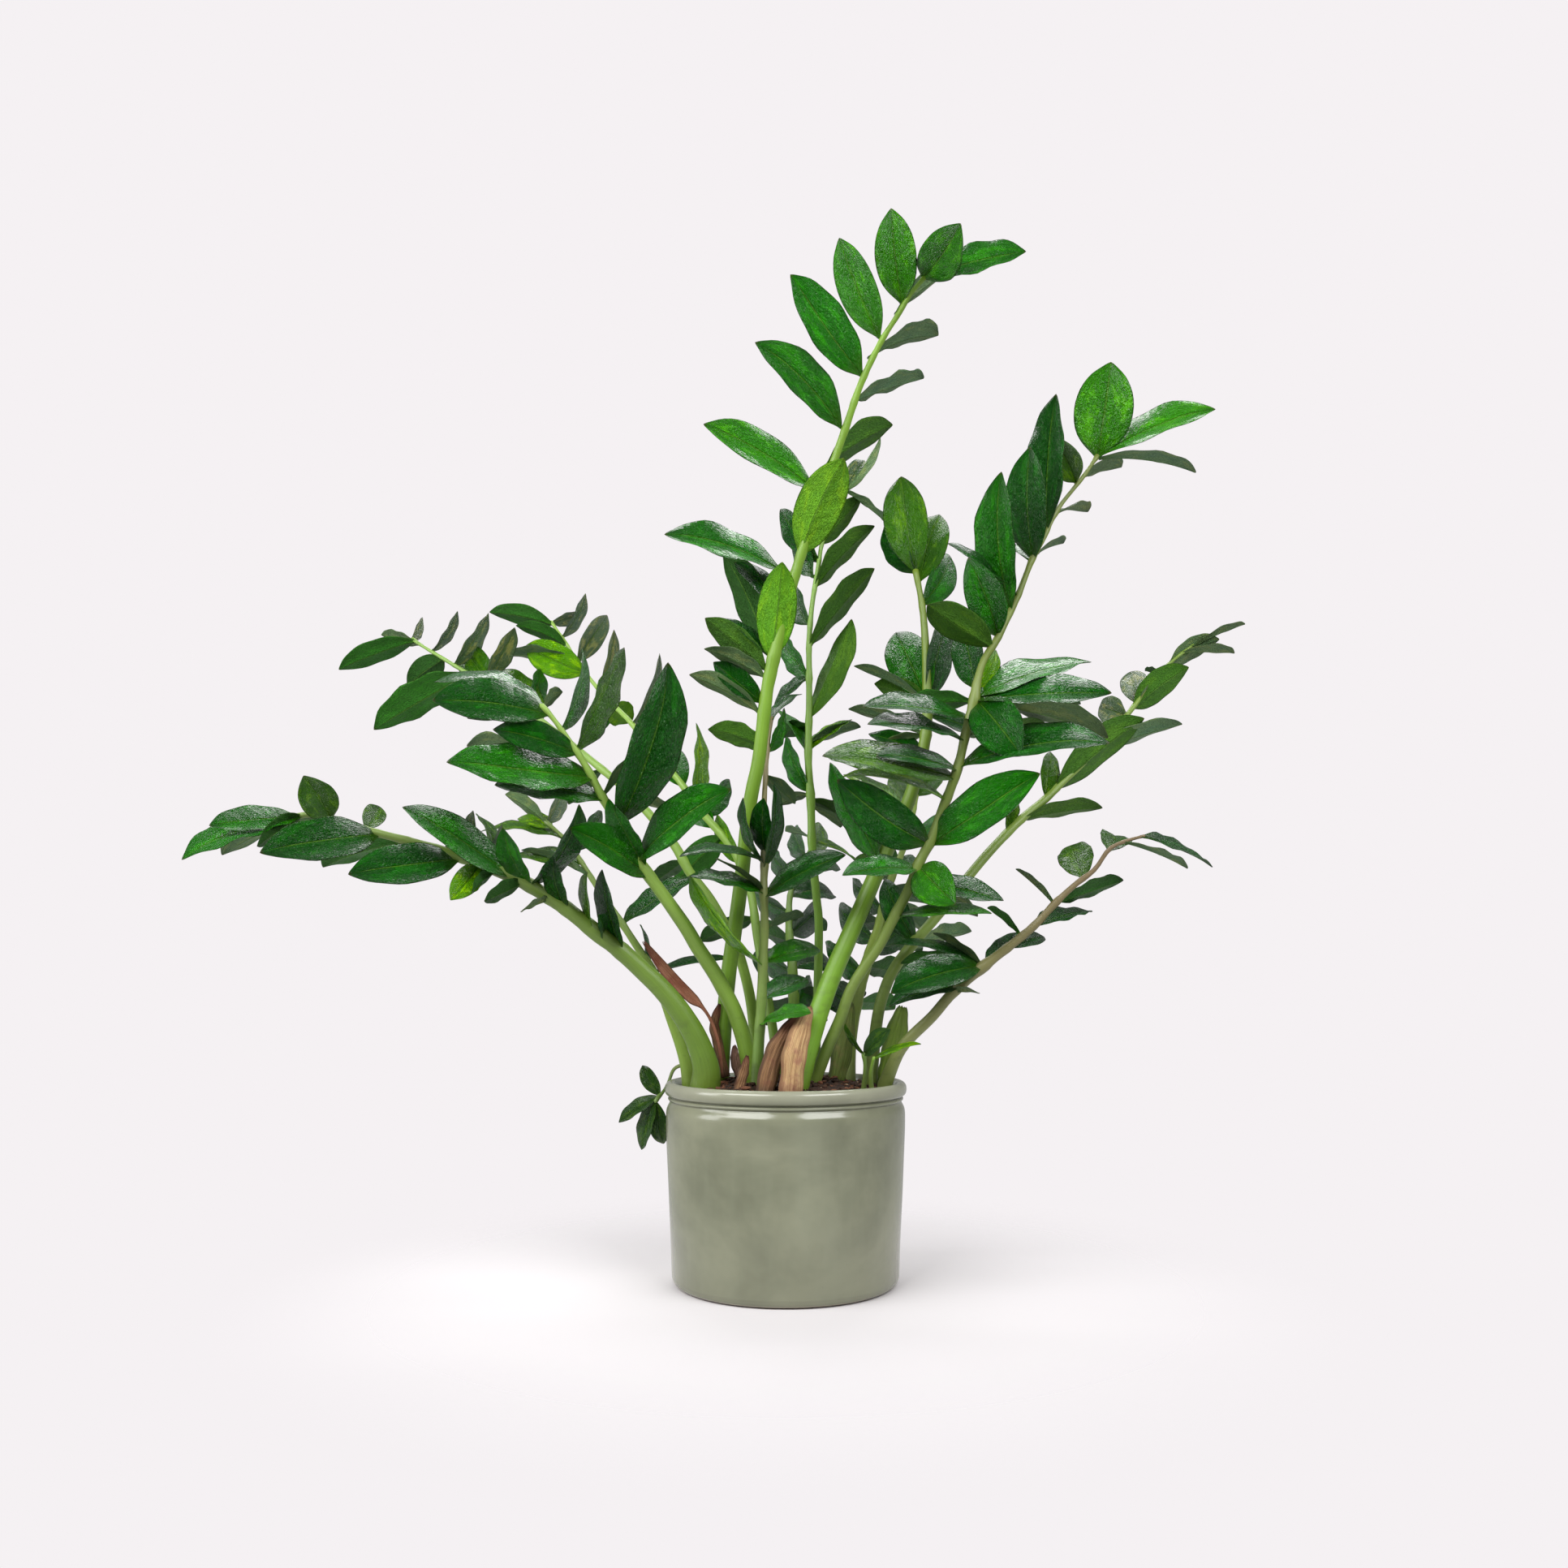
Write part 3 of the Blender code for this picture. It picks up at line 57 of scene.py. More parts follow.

# ---------------------------------------------------------------- layout of the plant
# The plant is laid out on one front elevation drawn in perspective: the eye stands
# EYE_DISTANCE in front of the pot's axis at height EYE_HEIGHT, and one drawing unit is
# POT_RIM_DIAMETER / 297 on the plane through the axis. A point of the drawing plus its
# depth behind that plane (mm, negative towards the eye) gives the point in space.
#
# A frond: name, depth along the stem as (share of length, depth), radii of the petiole
# foot, the middle and the tip (mm), stem line on the drawing, and its leaflets. Each
# leaflet: foot and tip on the drawing, width as drawn, its attitude, and its real
# length in mm where it is foreshortened (positive: the tip lies behind the foot).
# Attitude, first letter: u, l, r show the upper face, which looks up, left or right;
# d, L, R show the underside, with the upper face looking up, left or right.
# Second letter, the colour of the blade: d dark, m middle, b bright, y lime (a young blade's own green with painted
# backlight in it), o olive, g grey.

FRONDS = [
 ("frond_tall_centre", [(0, 6), (0.3, -6), (0.62, -22), (1, -62)], (8.2, 5.9, 1.7),
  [(886, 1338), (890, 1284), (897, 1205), (906, 1140), (914, 1080), (921, 1011), (927, 973), (935, 935), (944, 858),
   (950, 826), (957, 795), (985, 690), (1020, 590), (1042, 527), (1061, 472), (1085, 422), (1107, 387), (1122, 362), (1140, 341)],
  [(938, 880, 850, 830, 20, "dg"), (939, 866, 879, 815, 30, "ud"), (942, 834, 868, 798, 22, "dg"), (944, 825, 869, 761, 34, "do"),
   (946, 806, 893, 760, 13, "ud"), (948, 808, 893, 680, 46, "dd", 96), (962, 752, 906, 690, 24, "ud"), (950, 814, 964, 692, 48, "Ly", -95),
   (962, 702, 821, 652, 32, "um", -114), (986, 684, 1040, 564, 56, "Ry", -104), (1003, 602, 869, 519, 38, "ub", -122),
   (1018, 573, 1098, 522, 30, "do", 84), (1036, 526, 935, 418, 44, "um", -116), (1050, 494, 1138, 465, 19, "dg", 92),
   (1061, 462, 976, 337, 50, "um", -118), (1070, 440, 1155, 411, 19, "dg", 90), (1083, 415, 1034, 293, 46, "lb", -100),
   (1103, 386, 1190, 322, 21, "dg", 92), (1111, 373, 1098, 257, 50, "lb", -92), (1137, 342, 1182, 278, 52, "rb", -82),
   (1141, 341, 1264, 309, 32, "um", -100)]),
 ("frond_slim_behind", [(0, 58), (0.4, 62), (1, 96)], (4.6, 3.6, 1.4),
  [(1004, 1338), (1009, 1156), (1006, 1105), (1001, 1050), (999, 983), (996, 935), (997, 877), (997, 830), (997, 790),
   (1000, 751), (1004, 724), (1009, 694), (1013, 669), (1026, 632), (1042, 604)],
  [(999, 1032, 968, 1023, 7, "dg", 62), (999, 1036, 1055, 1057, 9, "uy", 66), (999, 984, 1036, 1006, 18, "do", 60),
   (998, 992, 1036, 1019, 11, "dg", 64), (997, 975, 966, 908, 22, "lm", 66), (997, 978, 958, 992, 15, "dg", 56),
   (996, 930, 952, 868, 15, "ub", 70), (996, 914, 1060, 895, 16, "dg", 70), (997, 924, 1048, 884, 14, "uy", 66),
   (995, 892, 953, 908, 22, "dd", 60), (996, 885, 1050, 763, 30, "Ro", 100), (994, 836, 953, 868, 14, "ud", 58),
   (996, 833, 960, 786, 25, "lm", 66), (997, 797, 1077, 700, 27, "do", 102), (997, 769, 975, 718, 26, "ld", 66),
   (1004, 724, 1076, 647, 26, "do", 86), (1001, 710, 980, 660, 28, "ld", 62), (1009, 692, 959, 628, 30, "ld", 70),
   (1013, 670, 1062, 612, 26, "do", 62), (1026, 634, 1014, 582, 20, "lo", 48), (1042, 604, 1113, 662, 9, "dg", 70),
   (1042, 604, 1066, 566, 24, "rg", 40), (1042, 606, 1086, 540, 10, "Rg", 58)]),
 ("frond_stout_right", [(0, -54), (0.25, -38), (0.55, -6), (1, 34)], (11.0, 7.1, 2.4),
  [(980, 1340), (992, 1300), (1002, 1268), (1010, 1243), (1025, 1202), (1045, 1156), (1065, 1110), (1078, 1080), (1098, 1035),
   (1120, 985), (1136, 930), (1142, 890), (1142, 850), (1140, 790), (1136, 745), (1128, 703)],
  [(1085, 1064, 1020, 940, 34, "lm", 104), (1112, 1004, 1040, 952, 16, "uy", 78), (1130, 952, 1015, 925, 38, "uo", 98),
   (1137, 928, 1070, 903, 22, "ud", 62), (1140, 905, 1086, 924, 15, "dg", 52), (1139, 905, 1046, 872, 15, "dg", 82),
   (1142, 866, 1053, 819, 11, "dg", 80), (1142, 864, 1078, 842, 30, "do", 62), (1142, 862, 1103, 777, 58, "lm", 86),
   (1142, 858, 1168, 764, 34, "rd", 84), (1142, 880, 1214, 905, 24, "rd", 70), (1136, 745, 1173, 682, 36, "rm", 66),
   (1132, 716, 1158, 632, 46, "ro", 74), (1129, 706, 1088, 645, 30, "ld", 62), (1128, 704, 1110, 585, 54, "ro", 92)]),
 ("frond_tall_right", [(0, -32), (0.16, -46), (0.5, -66), (1, -34)], (5.8, 4.1, 1.5),
  [(1000, 1340), (1020, 1290), (1035, 1256), (1048, 1220), (1066, 1190), (1084, 1164), (1101, 1131), (1122, 1092), (1132, 1064),
   (1148, 1033), (1161, 998), (1172, 970), (1182, 939), (1193, 889), (1200, 864), (1204, 840), (1212, 814), (1226, 792), (1234, 777),
   (1246, 752), (1256, 730), (1265, 706), (1274, 684), (1286, 663), (1295, 642), (1307, 622), (1322, 603), (1337, 584), (1352, 562)],
  [(1107, 1128, 1222, 1124, 16, "ub", -90), (1120, 1097, 1205, 1128, 18, "dg", 74), (1126, 1086, 1237, 1109, 30, "ud", -84),
   (1132, 1068, 1175, 1112, 52, "rb", -60), (1130, 1070, 1039, 1075, 26, "um", -76), (1148, 1040, 1278, 950, 54, "um", -120),
   (1144, 1040, 1033, 962, 56, "ud", -104), (1166, 985, 1040, 950, 15, "uy", -98), (1176, 958, 1015, 927, 38, "uo", -124),
   (1182, 944, 1366, 908, 36, "ud", -140), (1180, 948, 1082, 926, 20, "ud", -78), (1188, 912, 1070, 888, 16, "ud", -92),
   (1190, 905, 1292, 896, 22, "do", 84), (1194, 886, 1064, 868, 22, "ud", -100), (1200, 864, 1109, 871, 25, "dm", 74),
   (1202, 862, 1370, 853, 30, "ud", -124), (1202, 858, 1345, 812, 32, "um", 112), (1203, 862, 1258, 930, 60, "rd", -74),
   (1202, 866, 1366, 906, 26, "dg", 124), (1200, 872, 1331, 864, 18, "dg", 108), (1202, 848, 1184, 770, 40, "ld", 70),
   (1204, 846, 1229, 801, 24, "ry", 48), (1222, 797, 1142, 744, 42, "do", -84), (1229, 783, 1194, 690, 46, "lm", -86),
   (1245, 752, 1229, 582, 48, "lm", -128), (1254, 733, 1169, 668, 8, "ud", -84), (1273, 689, 1268, 551, 50, "ld", -108),
   (1272, 692, 1210, 657, 8, "um", 60), (1278, 681, 1310, 668, 8, "dg", 70), (1289, 652, 1299, 485, 46, "ld", -126),
   (1300, 634, 1250, 626, 8, "um", 62), (1302, 632, 1340, 628, 8, "dg", 72), (1326, 594, 1298, 540, 34, "lo", -58),
   (1336, 586, 1381, 574, 18, "dg", 64), (1352, 563, 1369, 446, 70, "rb", -92), (1353, 562, 1496, 497, 30, "ub", -118),
   (1353, 564, 1474, 579, 13, "dg", 96)]),
 ("frond_right", [(0, 14), (0.3, 22), (0.65, 90), (1, 176)], (6.2, 4.3, 1.3),
  [(1072, 1336), (1080, 1262), (1088, 1226), (1101, 1195), (1124, 1164), (1157, 1126), (1200, 1072), (1228, 1040), (1260, 1008),
   (1290, 983), (1306, 967), (1350, 925), (1388, 882), (1410, 852), (1430, 828), (1452, 808), (1470, 795)],
  [(1128, 1160, 1088, 1082, 34, "ld", 70), (1120, 1168, 1196, 1146, 20, "dg", 80), (1166, 1116, 1128, 1076, 24, "lm", 52),
   (1241, 1026, 1249, 962, 18, "ro", 52), (1258, 1010, 1358, 994, 19, "do", 84), (1289, 984, 1296, 925, 24, "ro", 52),
   (1302, 972, 1408, 884, 40, "do", 112), (1341, 932, 1340, 896, 26, "lg", 52), (1352, 924, 1456, 891, 22, "dg", 92),
   (1388, 882, 1352, 872, 34, "lg", 44), (1400, 866, 1392, 826, 34, "lg", 46), (1396, 872, 1464, 822, 36, "do", 74),
   (1430, 828, 1411, 826, 9, "dd", 36), (1441, 817, 1501, 787, 26, "dg", 62), (1456, 804, 1521, 804, 12, "dg", 60),
   (1470, 796, 1534, 768, 8, "dg", 62)]),
 ("frond_low_right", [(0, -14), (0.3, -34), (1, -70)], (6.2, 4.4, 1.1),
  [(1090, 1336), (1106, 1299), (1122, 1278), (1148, 1253), (1173, 1224), (1199, 1201), (1224, 1181), (1250, 1161), (1275, 1140),
   (1301, 1112), (1326, 1089), (1349, 1071), (1367, 1046), (1388, 1036), (1410, 1030)],
  [(1176, 1222, 1207, 1223, 7, "dg", -40), (1182, 1216, 1096, 1236, 22, "ud", -70), (1209, 1190, 1099, 1220, 44, "ud", -92),
   (1203, 1196, 1110, 1186, 26, "dm", 78), (1208, 1190, 1087, 1160, 14, "ud", 96), (1210, 1188, 1150, 1149, 11, "dg", 62),
   (1216, 1186, 1258, 1146, 18, "ld", 54), (1240, 1168, 1287, 1152, 22, "ud", 48), (1258, 1152, 1217, 1118, 10, "dm", 52),
   (1276, 1140, 1346, 1120, 20, "ud", 66), (1300, 1114, 1252, 1070, 9, "dg", 58), (1301, 1112, 1384, 1084, 18, "dd", 72),
   (1335, 1082, 1320, 1038, 44, "ro", 52), (1366, 1048, 1374, 1026, 40, "lo", 46), (1386, 1037, 1464, 1069, 7, "dg", 66),
   (1409, 1030, 1496, 1066, 13, "ud", 74)]),
 ("frond_far_left", [(0, 52), (0.3, 70), (1, 196)], (5.4, 4.2, 1.3),
  [(934, 1326), (926, 1240), (912, 1180), (897, 1147), (875, 1108), (850, 1075), (830, 1040), (797, 1000), (770, 972), (732, 940),
   (680, 898), (620, 855), (580, 832), (547, 812), (519, 795), (508, 787)],
  [(842, 1060, 800, 1090, 22, "dd", 60), (775, 978, 826, 1000, 16, "dg", 60), (740, 948, 700, 990, 22, "dd", 64),
   (668, 889, 612, 822, 40, "ro", 84), (655, 880, 668, 824, 22, "rm", 60), (640, 868, 576, 884, 26, "dd", 66),
   (604, 846, 569, 796, 40, "lo", 66), (598, 842, 636, 774, 22, "rg", 66), (577, 830, 460, 897, 42, "dm", 116),
   (560, 820, 604, 756, 20, "rg", 68), (547, 812, 502, 845, 34, "dd", 62), (532, 803, 566, 754, 12, "rg", 50),
   (511, 789, 417, 824, 28, "dm", 84), (508, 787, 522, 762, 12, "rg", 40), (516, 793, 470, 782, 14, "dg", 50)]),
 ("frond_left", [(0, -12), (0.2, -24), (0.5, -66), (1, -108)], (8.8, 6.2, 1.6),
  [(931, 1338), (923, 1306), (916, 1278), (905, 1246), (888, 1212), (876, 1192), (860, 1168), (846, 1144), (828, 1118), (812, 1096),
   (796, 1074), (780, 1052), (766, 1025), (754, 1002), (741, 980), (728, 955), (715, 933), (700, 911), (682, 886), (667, 869)],
  [(800, 1080, 703, 1020, 42, "um", -96), (794, 1070, 748, 986, 30, "lm", -76), (786, 1058, 893, 968, 42, "um", -118),
   (762, 1016, 831, 822, 62, "rd", -156), (744, 985, 610, 965, 34, "um", -104), (742, 980, 843, 897, 20, "dg", 98),
   (730, 958, 552, 934, 50, "um", -140), (726, 952, 576, 917, 26, "dg", 118), (712, 928, 609, 897, 38, "ud", -84),
   (711, 924, 771, 798, 32, "ro", 104), (692, 900, 723, 800, 20, "rm", 80), (676, 880, 533, 862, 48, "ud", -112),
   (668, 871, 535, 832, 26, "ud", 102), (672, 874, 620, 888, 16, "dg", 46), (669, 872, 692, 852, 14, "dg", 42)]),
 ("frond_low_left", [(0, -30), (0.25, -50), (0.6, -84), (1, -118)], (12.6, 6.6, 1.6),
  [(868, 1342), (870, 1318), (862, 1290), (848, 1262), (830, 1236), (810, 1213), (794, 1198), (779, 1184), (757, 1165), (736, 1150),
   (715, 1133), (693, 1116), (672, 1103), (651, 1090), (629, 1079), (591, 1064), (565, 1056), (533, 1045), (494, 1034), (445, 1021),
   (407, 1008), (380, 1004), (366, 1006)],
  [(766, 1172, 740, 1072, 24, "ld", -80), (742, 1154, 738, 1128, 12, "rd", -44), (728, 1143, 720, 1076, 12, "lo", -62),
   (697, 1119, 680, 1056, 24, "ld", -60), (676, 1108, 642, 1122, 8, "dg", -46), (655, 1092, 718, 996, 27, "rd", -92),
   (654, 1092, 618, 1022, 26, "lm", -66), (645, 1087, 596, 1110, 20, "dd", -54), (630, 1079, 498, 992, 42, "um", -122),
   (625, 1078, 590, 1000, 18, "ro", 70), (612, 1072, 580, 1098, 14, "dm", -46), (592, 1065, 556, 1108, 32, "ly", -52),
   (596, 1066, 621, 1014, 17, "rg", 52), (566, 1058, 430, 1074, 48, "ud", -108), (545, 1050, 588, 1000, 23, "rg", 60),
   (536, 1047, 476, 1066, 38, "dg", 60), (500, 1036, 398, 1067, 36, "dm", 90), (466, 1028, 322, 1046, 50, "ud", -118),
   (450, 1022, 468, 992, 28, "ro", 44), (444, 1021, 402, 1032, 18, "dg", 46), (408, 1009, 375, 957, 44, "lo", -56),
   (392, 1005, 273, 1050, 26, "dg", 100), (372, 1005, 315, 1042, 22, "dd", -62), (370, 1006, 222, 1053, 30, "um", -118),
   (366, 1006, 258, 1015, 30, "um", -88)]),
 ("frond_thin_left", [(0, -2), (0.4, 2), (1, 34)], (6.4, 3.6, 1.3),
  [(850, 1338), (846, 1314), (838, 1286), (828, 1258), (816, 1224), (804, 1196), (788, 1171), (764, 1134), (740, 1100), (724, 1074),
   (700, 1038), (672, 1012)],
  [(805, 1198, 906, 1179, 10, "ud", 82), (798, 1188, 791, 1138, 8, "rm", 44), (767, 1138, 852, 1078, 24, "ud", 84),
   (728, 1080, 643, 1046, 12, "dg", 72), (716, 1064, 632, 1052, 22, "uo", 70), (706, 1048, 744, 1000, 22, "rd", 60),
   (694, 1032, 592, 1020, 14, "uo", 80), (680, 1020, 640, 1004, 22, "uy", 52), (674, 1014, 700, 968, 20, "rg", 56),
   (672, 1012, 624, 978, 18, "dg", 60)]),
 ("frond_slim_centre", [(0, -40), (0.35, -38), (0.62, -29), (0.82, 2), (1, 16)], (6.0, 3.6, 1.5),
  [(933, 1342), (934, 1297), (938, 1240), (940, 1187), (942, 1140), (941, 1093), (942, 1060), (941, 1010), (943, 960), (946, 920), (951, 884)],
  [(936, 1262, 998, 1246, 16, "ub", -64), (938, 1232, 996, 1204, 26, "um", 66), (940, 1190, 846, 1082, 17, "ly", -112),
   (941, 1186, 1012, 1166, 28, "ub", 66), (941, 1145, 990, 1128, 12, "dg", 58), (942, 1100, 850, 1077, 17, "um", -78),
   (942, 1104, 1040, 1051, 30, "ud", -90), (941, 1098, 882, 1056, 7, "dg", -62), (942, 1060, 838, 1050, 11, "ud", -84),
   (942, 1066, 912, 984, 11, "ld", -66), (942, 1070, 957, 965, 18, "rd", -82), (942, 1052, 940, 984, 26, "ld", -58),
   (944, 955, 980, 990, 20, "dg", 50), (946, 922, 873, 898, 28, "do", 62), (947, 926, 968, 872, 16, "rm", 50),
   (951, 886, 986, 852, 12, "ud", 50)]),
 ("frond_back_left", [(0, 70), (0.3, 96), (1, 214)], (5.0, 3.8, 1.3),
  [(960, 1322), (948, 1240), (934, 1160), (925, 1100), (908, 1056), (892, 1032), (864, 1000), (835, 960), (800, 922), (777, 890),
   (745, 858), (716, 822), (699, 795), (679, 766)],
  [(930, 1130, 862, 1160, 24, "dd", 70), (912, 1064, 880, 1004, 22, "ly", 60), (890, 1030, 831, 1088, 38, "dm", 78),
   (880, 1020, 845, 985, 30, "lm", 56), (868, 1006, 900, 960, 24, "rm", 56), (856, 990, 861, 890, 20, "ry", 84),
   (842, 970, 824, 922, 36, "lm", 54), (826, 950, 780, 960, 26, "dm", 60), (812, 934, 832, 908, 18, "ry", 36),
   (779, 893, 816, 806, 14, "rg", 82), (757, 870, 778, 890, 36, "dy", 44), (750, 864, 730, 906, 24, "dm", 50),
   (738, 850, 758, 776, 14, "rg", 66), (722, 830, 646, 795, 42, "uy", 72), (712, 818, 622, 806, 16, "dg", 80),
   (711, 815, 750, 758, 26, "rg", 62), (698, 795, 636, 770, 19, "dm", 56), (692, 786, 724, 732, 14, "rg", 56),
   (681, 769, 603, 754, 26, "dm", 70), (680, 767, 714, 759, 16, "rg", 42)]),
 ("frond_back_centre", [(0, 38), (0.35, 82), (1, 236)], (6.2, 4.4, 1.4),
  [(974, 1330), (978, 1250), (976, 1190), (972, 1140), (974, 1100), (984, 1068), (998, 1048)],
  [(978, 1240, 1002, 1208, 26, "rm", 70), (977, 1228, 944, 1262, 26, "dd", 76), (977, 1200, 930, 1168, 28, "ld", 84),
   (976, 1192, 1034, 1188, 30, "ud", 84), (974, 1160, 930, 1146, 28, "dd", 86), (973, 1150, 1012, 1112, 30, "rd", 86),
   (972, 1124, 924, 1098, 26, "ld", 84), (974, 1104, 1030, 1100, 30, "ud", 84), (978, 1086, 948, 1052, 24, "ld", 78),
   (984, 1070, 1036, 1066, 26, "ud", 78), (992, 1056, 976, 1020, 24, "ld", 70), (998, 1048, 1014, 1016, 26, "ro", 66), (978, 1262, 1018, 1256, 30, "dd", 84), (976, 1222, 1010, 1238, 24, "dd", 62), (974, 1132, 1018, 1146, 26, "dd", 84), (972, 1170, 934, 1196, 28, "dd", 84)]),
 ("frond_back_right", [(0, 44), (0.35, 84), (1, 210)], (7.2, 5.0, 1.5),
  [(1044, 1332), (1048, 1276), (1058, 1222), (1070, 1180), (1082, 1146), (1090, 1112), (1098, 1084), (1110, 1054), (1122, 1020), (1130, 980)],
  [(1054, 1240, 1008, 1206, 30, "ld", 84), (1056, 1234, 1102, 1242, 26, "dm", 80), (1064, 1200, 1014, 1166, 32, "lm", 86),
   (1068, 1190, 1122, 1206, 32, "dd", 86), (1078, 1158, 1030, 1118, 30, "ld", 86), (1080, 1152, 1136, 1170, 34, "dd", 86),
   (1088, 1120, 1048, 1086, 26, "ld", 80), (1092, 1108, 1146, 1150, 26, "dg", 86), (1100, 1080, 1052, 1066, 24, "do", 80),
   (1104, 1070, 1150, 1086, 24, "ud", 80), (1114, 1044, 1082, 996, 34, "lm", 80), (1118, 1034, 1166, 1004, 28, "rm", 78),
   (1128, 996, 1096, 952, 30, "lo", 72), (1130, 980, 1160, 934, 30, "ro", 70), (1060, 1218, 1020, 1232, 30, "dd", 84), (1074, 1172, 1118, 1136, 30, "rd", 84), (1084, 1134, 1040, 1146, 28, "dd", 84), (1096, 1094, 1140, 1112, 28, "dd", 84), (1108, 1060, 1066, 1036, 28, "dd", 80)]),
 ("sprig_over_rim", [(0, 22), (0.35, 36), (0.6, 40), (1, 24)], (1.9, 1.7, 1.2),
  [(862, 1332), (850, 1318), (840, 1313), (830, 1318), (824, 1333), (818, 1344), (812, 1351), (808, 1357)],
  [(813, 1350, 791, 1312, 20, "ls", 36), (812, 1351, 761, 1382, 17, "us", 46), (808, 1357, 789, 1417, 20, "ls", 50),
   (808, 1357, 818, 1411, 24, "rs", 44)]),
 ("shoot_right_a", [(0, -36), (1, -46)], (2.3, 1.9, 1.2),
  [(1064, 1342), (1066, 1316), (1064, 1298)], [(1064, 1300, 1096, 1268, 21, "us", -44), (1064, 1300, 1040, 1262, 7, "lo", -34)]),
 ("shoot_right_b", [(0, -44), (1, -58)], (2.2, 1.8, 1.1),
  [(1074, 1343), (1073, 1322), (1077, 1303)], [(1077, 1304, 1134, 1284, 9, "uy", -46)]),
]

# Dry sheath leaves round the petiole feet: name, depth of foot and tip, half widths of the
# sheet along it as (share, mm), its line on the drawing, how hollow it is, and its colour.
SHEATHS = [
 ("sheath_front_wide", -82, -72, [(0, 10.0), (0.35, 10.6), (0.65, 8.2), (0.88, 4.4), (1, 1.4)], [(974, 1346), (979, 1300), (989, 1264), (999, 1240)], 0.45, "tan"),
 ("sheath_front_left", -70, -62, [(0, 8.0), (0.35, 8.8), (0.75, 5.4), (1, 1.2)], [(942, 1346), (953, 1302), (968, 1272), (983, 1250)], 0.5, "brown"),
 ("sheath_stout_left", -16, -17, [(0, 1.6), (0.3, 1.6), (0.5, 1.8), (0.62, 4.8), (0.8, 5.6), (1, 1.6)],
  [(889, 1322), (886, 1290), (878, 1262), (866, 1242), (848, 1226), (820, 1196), (793, 1160)], 0.3, "salmon"),
 ("sheath_left_small", -58, -52, [(0, 4.2), (0.5, 4.6), (1, 1.3)], [(909, 1345), (916, 1322), (921, 1300)], 0.4, "brown"),
 ("sheath_back_left", -8, -8, [(0, 3.8), (0.4, 4.6), (0.75, 4.0), (1, 1.2)], [(893, 1322), (884, 1284), (880, 1262), (887, 1236)], 0.4, "brown"),
 ("sheath_back_mid", 2, 0, [(0, 4.0), (0.5, 4.6), (1, 1.3)], [(911, 1326), (906, 1306), (905, 1288)], 0.4, "pink"),
 ("sheath_right_green", 4, -6, [(0, 6.5), (0.4, 9.5), (0.75, 8.5), (1, 3.0)], [(1090, 1332), (1102, 1285), (1113, 1240)], 0.45, "green"),
 ("sheath_mid_green", 2, 6, [(0, 7.0), (0.4, 9.5), (0.75, 6.0), (1, 1.5)], [(1030, 1334), (1040, 1285), (1050, 1236)], 0.45, "olive"),
]


def lerp(a, b, t):
    return a + (b - a) * t


def eased(knots, t):
    """Smooth curve through (position, value) knots, read at t."""
    if t <= knots[0][0]:
        return knots[0][1]
    if t >= knots[-1][0]:
        return knots[-1][1]
    n = len(knots)
    slopes = []
    for i in range(n):
        a, b = knots[max(i - 1, 0)], knots[min(i + 1, n - 1)]
        slopes.append((b[1] - a[1]) / (b[0] - a[0]))
    for i in range(n - 1):
        (x0, y0), (x1, y1) = knots[i], knots[i + 1]
        if t <= x1:
            h = x1 - x0
            s = (t - x0) / h
            return ((2 * s**3 - 3 * s**2 + 1) * y0 + (s**3 - 2 * s**2 + s) * h * slopes[i]
                    + (3 * s**2 - 2 * s**3) * y1 + (s**3 - s**2) * h * slopes[i + 1])
    return knots[-1][1]


def drawn(u, v, depth):
    """A point of the front elevation, with its depth in mm, in space."""
    y = depth * 0.001
    s = (EYE_DISTANCE + y) / FOCAL
    return Vector(((u - AXIS_U) * s, y, EYE_HEIGHT + (HORIZON_V - v) * s))


def rounded_line(points, per_span):
    """Catmull-Rom line through drawn points."""
    out = []
    n = len(points)
    for i in range(n - 1):
        p0, p1, p2, p3 = points[max(i - 1, 0)], points[i], points[i + 1], points[min(i + 2, n - 1)]
        for k in range(per_span):
            t = k / per_span
            out.append(tuple(
                0.5 * (2 * b + (c - a) * t + (2 * a - 5 * b + 4 * c - d) * t * t + (3 * b - a - 3 * c + d) * t**3)
                for a, b, c, d in zip(p0, p1, p2, p3)))
    out.append(tuple(float(c) for c in points[-1]))
    return out


